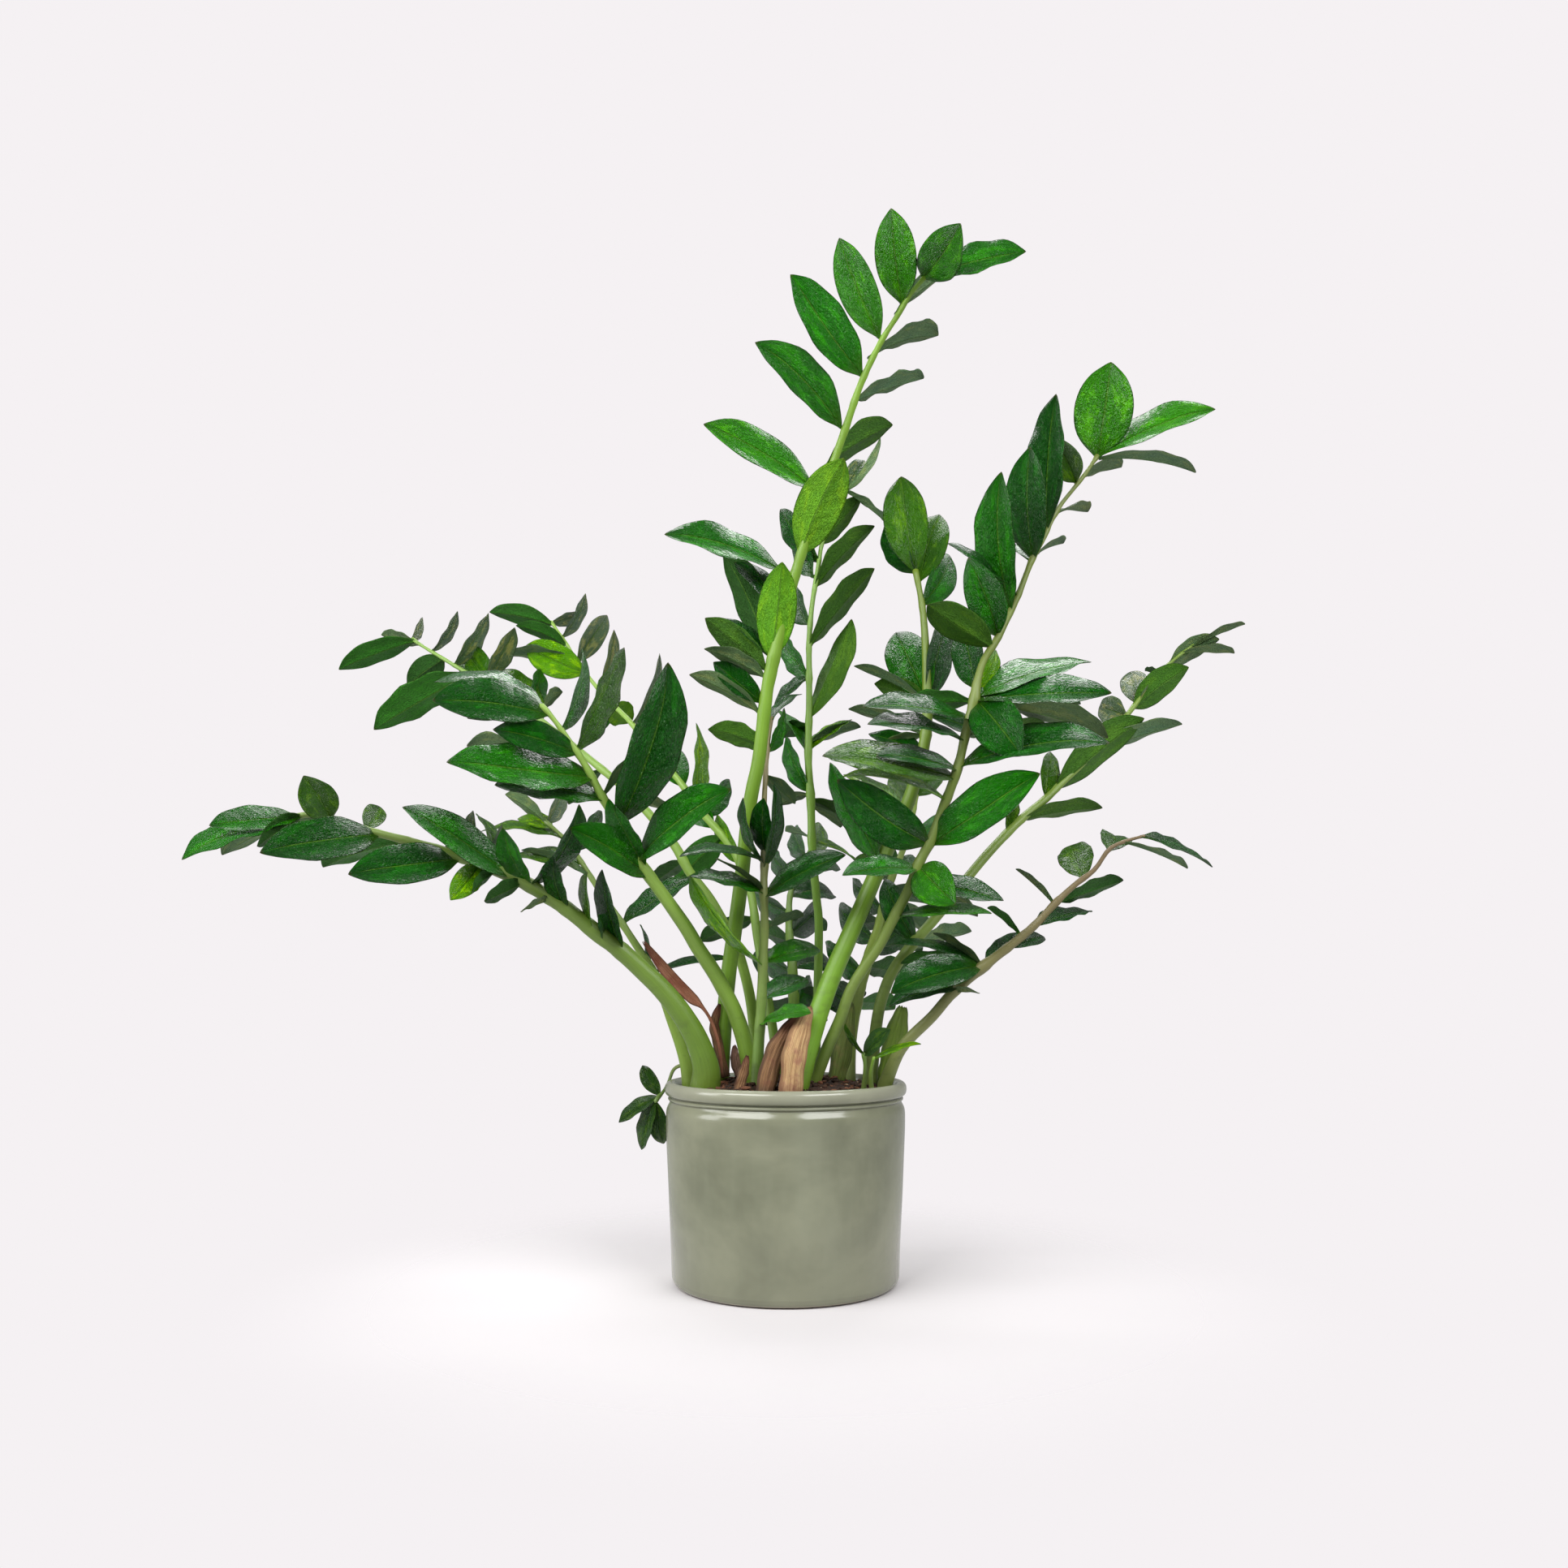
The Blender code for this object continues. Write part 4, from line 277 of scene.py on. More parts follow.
class Stem:
    """The axis of one frond: drawn line, depth, and radius along it."""

    def __init__(self, name, depths, radii, line):
        self.name = name
        self.line = rounded_line(line, 8)
        run = [0.0]
        for a, b in zip(self.line, self.line[1:]):
            run.append(run[-1] + math.dist(a, b))
        self.share = [r / run[-1] for r in run]
        self.depths = depths
        self.points = [drawn(u, v, eased(depths, t)) for (u, v), t in zip(self.line, self.share)]
        self.run = [0.0]
        for a, b in zip(self.points, self.points[1:]):
            self.run.append(self.run[-1] + (b - a).length)
        self.length = self.run[-1]
        r0, r1, r2 = (r * 0.001 for r in radii)
        self.radii = [(0.0, r0), (0.10, lerp(r0, r1, 0.40)), (0.45, r1), (0.8, lerp(r1, r2, 0.62)), (1.0, r2)]

    def radius(self, t):
        return eased(self.radii, t)

    def at(self, s):
        """Point on the axis, s metres from the foot."""
        s = min(max(s, 0.0), self.length)
        for i in range(len(self.run) - 1):
            if s <= self.run[i + 1]:
                k = (s - self.run[i]) / max(self.run[i + 1] - self.run[i], 1e-9)
                return self.points[i].lerp(self.points[i + 1], k)
        return self.points[-1].copy()

    def nearest(self, u, v):
        """Distance from the foot, in metres, of the axis point drawn nearest to (u, v)."""
        best, where = 1e9, 0.0
        for i in range(len(self.line) - 1):
            (ax, ay), (bx, by) = self.line[i], self.line[i + 1]
            dx, dy = bx - ax, by - ay
            k = min(max(((u - ax) * dx + (v - ay) * dy) / (dx * dx + dy * dy + 1e-12), 0.0), 1.0)
            d = math.hypot(u - ax - k * dx, v - ay - k * dy)
            if d < best:
                best, where = d, lerp(self.run[i], self.run[i + 1], k)
        return where

    def rings(self, step):
        """(centre, radius) along the stem, from below the soil's surface to the tip."""
        first, along = self.points[0], self.at(0.02) - self.points[0]
        down = Vector((-along.x, -along.y, -abs(along.z))).normalized()
        down = (down + Vector((0, 0, -0.8))).normalized()
        out = []
        if self.name not in ("sprig_over_rim",):
            reach = (first.z - STEM_FOOT_Z) / max(-down.z, 0.2)
        else:
            reach = 0.012
        out.append((first + down * reach, self.radius(0.0) * 0.86))
        out.append((first + down * reach * 0.35, self.radius(0.0)))
        n = max(4, round(self.length / step))
        for i in range(1, n + 1):
            s = self.length * i / n
            out.append((self.at(s), self.radius(s / self.length)))
        return out


def leaf_plan(stem, row, index):
    """Everything that fixes one leaflet in space: spine, upper normal, width, colour letter."""
    u0, v0, u1, v1, wide, code = row[:6]
    real = row[6] * 0.001 if len(row) > 6 else 0.0
    s = min(max(stem.nearest(u0, v0), 0.002), stem.length - 0.0025)
    axis = stem.at(s)
    depth = axis.y * 1000
    foot = drawn(u0, v0, depth)
    scale = (EYE_DISTANCE + axis.y) / FOCAL
    seen = math.hypot(u1 - u0, v1 - v0) * scale
    wave = math.sin(12.9898 * index + 4.1 * len(stem.name) + 0.37 * u0)
    if abs(real) > seen * 1.01:
        back = math.copysign(math.sqrt(real * real - seen * seen), real)
    else:
        back = seen * 0.16 * wave
    # the tip keeps its place on the drawing as it moves back along its sight line
    tip = drawn(u1, v1, depth + back * 1000)
    long = (tip - foot).length
    a = (tip - foot).normalized()
    eye = Vector((0, -EYE_DISTANCE, EYE_HEIGHT))
    view = (eye - (foot + tip) * 0.5).normalized()
    e1 = (view - a * view.dot(a)).normalized()
    e2 = a.cross(e1)
    wide = wide * scale
    full = 0.40 * long
    share = wide / full
    tilt = 0.0 if share >= 0.96 else math.acos(max(share, 0.10))
    width = max(full if share < 0.96 else wide, 0.012)
    if share < 0.30:
        width *= 0.9
    kind = code[0]
    if kind in "ud":
        side = 1.0 if e2.z >= 0 else -1.0
    elif kind in "lL":
        side = 1.0 if e2.x < 0 else -1.0
    else:
        side = 1.0 if e2.x >= 0 else -1.0
    if kind in "dLR":
        normal = -e1 * math.cos(tilt) + e2 * side * math.sin(tilt)
    else:
        normal = e1 * math.cos(tilt) + e2 * side * math.sin(tilt)
    return {"axis": axis, "foot": foot, "tip": tip, "along": a, "normal": normal.normalized(), "long": long,
            "width": width, "stalk": (foot - axis).length, "r": stem.radius(s / stem.length),
            "hue": code[1], "kind": kind, "wave": wave, "bow": 0.045 + 0.03 * math.sin(5.3 * index + 0.11 * v0)}


BLADE = [(0.0, 0.13), (0.08, 0.42), (0.2, 0.78), (0.33, 0.96), (0.45, 1.0), (0.6, 0.93), (0.75, 0.70), (0.87, 0.40), (0.95, 0.17), (1.0, 0.0)]


def on_blade(plan, s, x, lift):
    """Point of a leaflet: s from foot (0) to tip (1), x across (-1 to 1), lift above the blade in metres."""
    a, n = plan["along"], plan["normal"]
    b = a.cross(n)
    bend = plan["bow"] * plan["long"]
    base = plan["foot"].lerp(plan["tip"], s) + n * (bend * 4 * s * (1 - s) - bend * 0.5 * s * s)
    half = 0.5 * plan["width"] * eased(BLADE, s)
    rise = abs(x) * half * FOLD
    return base + b * (x * half) + n * (rise + lift)

# ---------------------------------------------------------------- helpers
rnd = random.Random(7)


def srgb(r, g, b):
    def lin(c):
        c /= 255.0
        return c / 12.92 if c <= 0.04045 else ((c + 0.055) / 1.055) ** 2.4
    return (lin(r), lin(g), lin(b), 1.0)


def mesh_object(name, verts, faces, smooth=True):
    mesh = bpy.data.meshes.new(name)
    mesh.from_pydata([tuple(v) for v in verts], [], faces)
    mesh.update()
    if smooth:
        mesh.polygons.foreach_set("use_smooth", [True] * len(mesh.polygons))
    obj = bpy.data.objects.new(name, mesh)
    bpy.context.scene.collection.objects.link(obj)
    return obj


def per_vertex(obj, name, values, kind="FLOAT_VECTOR"):
    a = obj.data.attributes.new(name, kind, "POINT")
    key = {"FLOAT_VECTOR": "vector", "FLOAT_COLOR": "color", "FLOAT": "value"}[kind]
    flat = values if kind == "FLOAT" else [c for v in values for c in v]
    a.data.foreach_set(key, flat)


def per_face(obj, name, values):
    a = obj.data.attributes.new(name, "FLOAT", "FACE")
    a.data.foreach_set("value", values)


class Nodes:
    """Small helper to wire a material."""

    def __init__(self, name):
        self.mat = bpy.data.materials.new(name)
        self.mat.use_nodes = True
        self.tree = self.mat.node_tree
        self.tree.nodes.clear()
        self.out = self.tree.nodes.new("ShaderNodeOutputMaterial")
        self.bsdf = self.tree.nodes.new("ShaderNodeBsdfPrincipled")
        self.tree.links.new(self.bsdf.outputs[0], self.out.inputs[0])

    def add(self, kind, **props):
        n = self.tree.nodes.new(kind)
        for k, v in props.items():
            setattr(n, k, v)
        return n

    def link(self, a, b):
        self.tree.links.new(a, b)

    def put(self, socket, value):
        if hasattr(value, "is_output"):
            self.link(value, socket)
        else:
            socket.default_value = value

    def attr(self, name, out="Vector"):
        return self.add("ShaderNodeAttribute", attribute_name=name).outputs[out]

    def coords(self):
        return self.add("ShaderNodeTexCoord").outputs["Object"]

    def math(self, op, a, b=None, c=None, clamp=False):
        n = self.add("ShaderNodeMath", operation=op, use_clamp=clamp)
        self.put(n.inputs[0], a)
        if b is not None:
            self.put(n.inputs[1], b)
        if c is not None:
            self.put(n.inputs[2], c)
        return n.outputs[0]

    def ramp(self, value, a, b, c=0.0, d=1.0):
        n = self.add("ShaderNodeMapRange", interpolation_type="SMOOTHSTEP")
        self.put(n.inputs["Value"], value)
        n.inputs["From Min"].default_value = a
        n.inputs["From Max"].default_value = b
        n.inputs["To Min"].default_value = c
        n.inputs["To Max"].default_value = d
        return n.outputs[0]

    def mix(self, fac, a, b, blend="MIX"):
        n = self.add("ShaderNodeMix", data_type="RGBA", blend_type=blend)
        self.put(n.inputs[0], fac)
        self.put(n.inputs[6], a)
        self.put(n.inputs[7], b)
        return n.outputs[2]

    def mix_f(self, fac, a, b):
        n = self.add("ShaderNodeMix", data_type="FLOAT")
        self.put(n.inputs[0], fac)
        self.put(n.inputs[2], a)
        self.put(n.inputs[3], b)
        return n.outputs[0]

    def noise(self, vec, scale, detail=3.0, rough=0.55, dist=0.0, out=0):
        n = self.add("ShaderNodeTexNoise")
        self.put(n.inputs["Vector"], vec)
        n.inputs["Scale"].default_value = scale
        n.inputs["Detail"].default_value = detail
        n.inputs["Roughness"].default_value = rough
        n.inputs["Distortion"].default_value = dist
        return n.outputs[out]

    def scaled(self, vec, x, y, z):
        n = self.add("ShaderNodeVectorMath", operation="MULTIPLY")
        self.put(n.inputs[0], vec)
        n.inputs[1].default_value = (x, y, z)
        return n.outputs[0]

    def split(self, vec):
        n = self.add("ShaderNodeSeparateXYZ")
        self.put(n.inputs[0], vec)
        return n.outputs

    def join(self, x, y, z):
        n = self.add("ShaderNodeCombineXYZ")
        for s, v in zip(n.inputs, (x, y, z)):
            self.put(s, v)
        return n.outputs[0]

    def bump(self, height, strength, distance, normal=None):
        n = self.add("ShaderNodeBump")
        n.inputs["Strength"].default_value = strength
        n.inputs["Distance"].default_value = distance
        self.put(n.inputs["Height"], height)
        if normal is not None:
            self.link(normal, n.inputs["Normal"])
        return n.outputs[0]

    def finish(self, **sockets):
        for k, v in sockets.items():
            self.put(self.bsdf.inputs[k.replace("_", " ")], v)
        return self.mat


# ---------------------------------------------------------------- materials
def leaf_material(name, lower):
    m = Nodes(name)
    s, x, seed = m.split(m.attr("leaf"))
    tint = m.attr("tint", "Color")
    under = 1.0 if lower else 0.0
    ax = m.math("ABSOLUTE", x)
    obj = m.coords()
    # slow variation of the green over a blade, and fine cell-like mottling
    slow = m.noise(obj, 22.0, 2.0)
    fine = m.noise(obj, 420.0, 3.0, 0.6)
    # painted backlight: brighter yellow-green patches stand in for light shining through the blade, and darker patches
    # between them are painted shade
    patch = m.noise(m.join(m.math("MULTIPLY", s, 2.4), m.math("MULTIPLY", x, 1.5), seed), 1.6, 3.0, 0.6, 0.4)
    shade = m.math("ADD", m.math("MULTIPLY", slow, 0.40), m.math("MULTIPLY", fine, 0.24))
    shade = m.math("ADD", shade, 0.56)
    colour = m.mix(1.0, tint, m.join(shade, shade, shade), "MULTIPLY")
    painted_backlight_green = m.mix(1.0, tint, (3.0, 1.9, 1.2, 1.0), "MULTIPLY")
    colour = m.mix(m.math("MULTIPLY", m.ramp(patch, 0.50, 0.66), 0.30 if lower else 0.70), colour, painted_backlight_green)
    painted_shade_green = m.mix(1.0, tint, (0.45, 0.62, 0.8, 1.0), "MULTIPLY")
    colour = m.mix(m.math("MULTIPLY", m.ramp(patch, 0.46, 0.30), 0.60), colour, painted_shade_green)
    # the half nearer the foot and the edge of the blade are a touch yellower
    foot = m.ramp(s, 0.0, 0.22, 1.0, 0.0)
    colour = m.mix(m.math("MULTIPLY", foot, 0.35), colour, srgb(86, 134, 22))
    # side veins run forward from the midrib to the edge
    run = m.math("SUBTRACT", m.math("MULTIPLY", s, 46.0), m.math("MULTIPLY", ax, 9.0))
    wobble = m.noise(m.join(m.math("MULTIPLY", s, 7.0), m.math("MULTIPLY", ax, 3.0), seed), 2.4, 2.0)
    run = m.math("ADD", run, m.math("MULTIPLY", wobble, 6.0))
    veins = m.math("SINE", run)
    vein_line = m.ramp(veins, 0.86, 1.0)
    colour = m.mix(m.math("MULTIPLY", vein_line, 0.15), colour, srgb(72, 128, 34))
    # midrib: a fine pale line above, a stronger one below; a thin light margin
    rib = m.ramp(ax, 0.018, 0.052, 1.0, 0.0)
    rib = m.math("MULTIPLY", rib, m.ramp(s, 0.80, 0.98, 1.0, 0.1))
    colour = m.mix(m.math("MULTIPLY", rib, 0.60 if lower else 0.55), colour, srgb(98, 152, 40))
    edge = m.ramp(ax, 0.955, 0.995)
    colour = m.mix(m.math("MULTIPLY", edge, 0.45), colour, srgb(92, 160, 36))
    # underside: duller and paler, with the green still in it
    if lower:
        colour = m.mix(0.22, colour, srgb(104, 132, 80))
    tipdry = m.ramp(s, 0.965, 1.0)
    colour = m.mix(m.math("MULTIPLY", tipdry, 0.55), colour, srgb(110, 92, 48))
    # surface: glossy above with puckering that breaks up the reflections, satin below
    pucker = m.noise(m.join(m.math("MULTIPLY", s, 5.0), m.math("MULTIPLY", x, 2.2), seed), 7.5, 2.0, 0.50, 0.7)
    rough_top = m.ramp(pucker, 0.32, 0.70, 0.16, 0.30)
    height = m.math("ADD", m.math("MULTIPLY", veins, 0.20), m.math("MULTIPLY", pucker, 2.4))
    height = m.math("ADD", height, m.math("MULTIPLY", fine, 0.04))
    height = m.math("ADD", height, m.math("MULTIPLY", rib, -0.9))
    nrm = m.bump(height, 1.0, 0.0014 if lower else 0.0026)
    m.bsdf.inputs["Specular IOR Level"].default_value = 0.18 if lower else 0.05
    m.bsdf.inputs["Specular Tint"].default_value = (0.80, 1.0, 0.66, 1.0)
    m.bsdf.inputs["IOR"].default_value = 1.45
    m.bsdf.inputs["Coat Weight"].default_value = 0.0 if lower else 0.66
    m.bsdf.inputs["Coat Roughness"].default_value = 0.04
    return m.finish(Base_Color=colour, Roughness=0.42 if lower else rough_top, Normal=nrm, Coat_Normal=nrm)


def stalk_material():
    m = Nodes("stalk")
    t, ang, seed = m.split(m.attr("stalk"))
    tint = m.attr("tint", "Color")
    obj = m.coords()
    around = m.math("MULTIPLY", m.math("COSINE", ang), 1.0)
    round2 = m.math("SINE", ang)
    lengthwise = m.join(m.math("MULTIPLY", around, 9.0), m.math("MULTIPLY", round2, 9.0), m.math("MULTIPLY", t, 9.0))
    streak = m.noise(lengthwise, 1.3, 4.0, 0.6)
    fleck = m.noise(m.scaled(obj, 1.0, 1.0, 0.45), 260.0, 2.0, 0.5)
    slow = m.noise(obj, 30.0, 2.0)
    shade = m.math("ADD", m.math("MULTIPLY", streak, 0.55), m.math("MULTIPLY", slow, 0.40))
    shade = m.math("ADD", shade, 0.54)
    colour = m.mix(1.0, tint, m.join(shade, shade, shade), "MULTIPLY")
    dark = m.ramp(fleck, 0.64, 0.80)
    colour = m.mix(m.math("MULTIPLY", dark, 0.22), colour, srgb(62, 84, 26))
    # painted shade: the foot, where the petiole leaves the soil, is darkened towards a brownish green
    foot = m.ramp(t, 0.0, 0.09, 1.0, 0.0)
    colour = m.mix(m.math("MULTIPLY", foot, 0.45), colour, srgb(92, 104, 40))
    blotch = m.ramp(m.noise(m.scaled(obj, 1.0, 1.0, 2.2), 48.0, 3.0, 0.6), 0.54, 0.72)
    blotch = m.math("MULTIPLY", blotch, m.ramp(t, 0.05, 0.40, 0.30, 0.0))
    colour = m.mix(blotch, colour, srgb(70, 84, 36))
    height = m.math("ADD", m.math("MULTIPLY", streak, 0.8), m.math("MULTIPLY", fleck, 0.35))
    nrm = m.bump(height, 0.40, 0.0008)
    rough = m.ramp(streak, 0.3, 0.7, 0.30, 0.44)
    return m.finish(Base_Color=colour, Roughness=rough, Normal=nrm)


def glaze_material():
    m = Nodes("sage_glaze")
    obj = m.coords()
    x, y, z = m.split(obj)
    cloud = m.noise(m.scaled(obj, 1.0, 1.0, 1.3), 9.0, 4.0, 0.6, 0.3)
    speck = m.noise(obj, 240.0, 2.0, 0.5)
    streak = m.noise(m.scaled(obj, 1.0, 1.0, 0.22), 26.0, 3.0, 0.6)
    body = m.mix(m.ramp(cloud, 0.30, 0.72), srgb(110, 113, 92), srgb(138, 140, 116))
    body = m.mix(m.math("MULTIPLY", m.ramp(streak, 0.40, 0.75), 0.30), body, srgb(146, 150, 128))
    body = m.mix(m.math("MULTIPLY", m.ramp(speck, 0.66, 0.80), 0.12), body, srgb(96, 100, 82))
    # glaze breaks lighter over the rim's edge; the two grooves below the bead are given painted shade
    rim = m.ramp(z, 0.1706, 0.1800)
    low = m.ramp(z, 0.085, 0.0, 0.0, 1.0)
    body = m.mix(m.math("MULTIPLY", low, 0.42), body, srgb(104, 106, 86))
    body = m.mix(m.math("MULTIPLY", rim, 0.46), body, srgb(170, 170, 152))
    # painted shade: dark lines along the two grooves under the rim's bead, where shade falls
    wave = m.math("MULTIPLY", m.math("ADD", cloud, -0.5), 0.0012)
    zz = m.math("ADD", z, wave)
    g1 = m.ramp(m.math("ABSOLUTE", m.math("SUBTRACT", zz, 0.1704)), 0.0004, 0.0014, 1.0, 0.0)
    g2 = m.ramp(m.math("ABSOLUTE", m.math("SUBTRACT", zz, 0.1662)), 0.0004, 0.0014, 1.0, 0.0)
    painted_groove_shade = m.math("MULTIPLY", m.math("MAXIMUM", g1, g2), 0.55)
    body = m.mix(painted_groove_shade, body, srgb(84, 86, 68))
    radial = m.math("SQRT", m.math("ADD", m.math("MULTIPLY", x, x), m.math("MULTIPLY", y, y)))
    inside = m.math("MULTIPLY", m.ramp(radial, 0.0990, 0.1035, 1.0, 0.0), m.ramp(z, 0.02, 0.05))
    body = m.mix(inside, body, srgb(186, 190, 184))
    foot = m.ramp(z, 0.0008, 0.0030, 1.0, 0.0)
    body = m.mix(m.math("MULTIPLY", foot, 0.8), body, srgb(150, 140, 122))
    height = m.math("ADD", m.math("MULTIPLY", cloud, 1.0), m.math("MULTIPLY", speck, 0.08))
    nrm = m.bump(height, 0.18, 0.0016)
    rough = m.ramp(cloud, 0.3, 0.7, 0.17, 0.27)
    m.bsdf.inputs["Coat Weight"].default_value = 0.35
    m.bsdf.inputs["Coat Roughness"].default_value = 0.08
    return m.finish(Base_Color=body, Roughness=rough, Normal=nrm)


def soil_material():
    m = Nodes("potting_mix")
    obj = m.coords()
    hue = m.attr("grain", "Fac")
    lump = m.noise(obj, 90.0, 5.0, 0.65)
    fine = m.noise(obj, 480.0, 3.0, 0.6)
    colour = m.mix(m.ramp(lump, 0.30, 0.72), srgb(28, 16, 10), srgb(74, 46, 30))
    colour = m.mix(m.math("MULTIPLY", m.ramp(fine, 0.55, 0.72), 0.5), colour, srgb(104, 66, 42))
    chip = m.mix(m.ramp(hue, 0.35, 0.9), srgb(48, 28, 18), srgb(112, 70, 46))
    colour = m.mix(m.ramp(hue, 0.12, 0.30), colour, chip)
    pale = m.ramp(hue, 0.93, 0.96)
    colour = m.mix(pale, colour, srgb(176, 150, 122))
    nrm = m.bump(m.math("ADD", lump, m.math("MULTIPLY", fine, 0.5)), 0.8, 0.0025)
    return m.finish(Base_Color=colour, Roughness=0.94, Normal=nrm)


def sheath_material(name, pale, mid, dark, pink, rough=0.72):
    m = Nodes(name)
    s, x, seed = m.split(m.attr("sheet"))
    obj = m.coords()
    fibres = m.noise(m.join(m.math("MULTIPLY", x, 16.0), m.math("MULTIPLY", s, 1.6), seed), 2.2, 5.0, 0.65, 0.25)
    stain = m.noise(obj, 60.0, 4.0, 0.6)
    colour = m.mix(m.ramp(fibres, 0.35, 0.65), mid, pale)
    colour = m.mix(m.math("MULTIPLY", m.ramp(fibres, 0.50, 0.30), 0.85), colour, dark)
    colour = m.mix(m.math("MULTIPLY", m.ramp(stain, 0.52, 0.70), 0.65), colour, pink)
    upper = m.math("MULTIPLY", m.ramp(s, 0.45, 0.80), m.ramp(stain, 0.35, 0.60))
    colour = m.mix(m.math("MULTIPLY", upper, 0.8), colour, pink)
    margin = m.math("MULTIPLY", m.ramp(m.math("ABSOLUTE", m.math("ADD", x, m.math("MULTIPLY", stain, 0.2))), 0.66, 0.98), m.ramp(fibres, 0.30, 0.60))
    colour = m.mix(m.math("MULTIPLY", margin, 0.85), colour, dark)
    ends = m.math("MAXIMUM", m.ramp(s, 0.86, 1.0), m.ramp(s, 0.12, 0.0))
    colour = m.mix(m.math("MULTIPLY", ends, 0.55), colour, dark)
    nrm = m.bump(m.math("ADD", fibres, m.math("MULTIPLY", stain, 0.3)), 0.7, 0.0012)
    return m.finish(Base_Color=colour, Roughness=rough, Normal=nrm)


LEAF = leaf_material("leaflet_upper", False)
LEAF_UNDER = leaf_material("leaflet_underside", True)
STALK = stalk_material()
GLAZE = glaze_material()
SOIL = soil_material()
DRY = {
    "tan": sheath_material("sheath_tan", srgb(214, 184, 132), srgb(176, 128, 84), srgb(96, 58, 36), srgb(150, 92, 78)),
    "brown": sheath_material("sheath_brown", srgb(158, 120, 78), srgb(106, 68, 42), srgb(44, 26, 18), srgb(120, 70, 52)),
    "salmon": sheath_material("sheath_salmon", srgb(198, 142, 112), srgb(172, 106, 78), srgb(84, 46, 32), srgb(150, 84, 62)),
    "pink": sheath_material("sheath_pink", srgb(190, 150, 130), srgb(150, 106, 92), srgb(70, 44, 36), srgb(170, 120, 110)),
    "green": sheath_material("sheath_green", srgb(138, 166, 60), srgb(104, 138, 38), srgb(66, 92, 24), srgb(120, 142, 60), 0.42),
    "olive": sheath_material("sheath_olive", srgb(122, 140, 62), srgb(88, 106, 34), srgb(54, 66, 20), srgb(130, 120, 66), 0.45),
}

# ---------------------------------------------------------------- fronds
# the lime hue y is partly a young blade's own colour and partly painted backlight, light shining through the blade
HUES = {"s": srgb(60, 110, 36), "d": srgb(10, 92, 3), "m": srgb(28, 124, 2), "b": srgb(54, 150, 4), "y": srgb(116, 192, 6),
        "o": srgb(66, 126, 6), "g": srgb(116, 150, 104)}
STALKS = {
    "frond_tall_centre": (srgb(112, 152, 40), srgb(118, 156, 44)), "frond_slim_behind": (srgb(112, 152, 48), srgb(120, 158, 60)),
    "frond_stout_right": (srgb(112, 160, 42), srgb(112, 136, 38)), "frond_tall_right": (srgb(112, 136, 58), srgb(112, 126, 52)),
    "frond_right": (srgb(116, 138, 60), srgb(124, 152, 60)), "frond_low_right": (srgb(128, 140, 76), srgb(122, 104, 74)),
    "frond_far_left": (srgb(136, 172, 60), srgb(124, 160, 66)), "frond_left": (srgb(118, 152, 50), srgb(142, 176, 76)),
    "frond_low_left": (srgb(96, 128, 36), srgb(118, 142, 64)), "frond_thin_left": (srgb(128, 160, 58), srgb(116, 140, 66)),
    "frond_slim_centre": (srgb(104, 142, 58), srgb(126, 116, 74)), "frond_back_left": (srgb(122, 158, 56), srgb(148, 186, 78)),
    "frond_back_centre": (srgb(112, 144, 50), srgb(110, 142, 56)), "frond_back_right": (srgb(112, 132, 40), srgb(120, 142, 60)),
    "sprig_over_rim": (srgb(124, 130, 70), srgb(110, 138, 66)), "shoot_right_a": (srgb(130, 156, 84), srgb(116, 152, 70)),
    "shoot_right_b": (srgb(136, 160, 88), srgb(128, 168, 60)),
}
ROWS = (0.015, 0.04, 0.075, 0.12, 0.17, 0.23, 0.295, 0.36, 0.43, 0.50, 0.57, 0.64, 0.705, 0.765, 0.82, 0.868, 0.908, 0.942, 0.968, 0.987)
COLS = (-1.0, -0.90, -0.72, -0.52, -0.32, -0.15, -0.05, 0.0, 0.05, 0.15, 0.32, 0.52, 0.72, 0.90, 1.0)


OUTLINE = [(0.0, 0.10), (0.05, 0.27), (0.12, 0.52), (0.22, 0.78), (0.34, 0.94), (0.46, 1.0), (0.58, 0.99), (0.70, 0.90), (0.80, 0.74), (0.88, 0.54), (0.945, 0.28), (0.985, 0.10), (1.0, 0.0)]


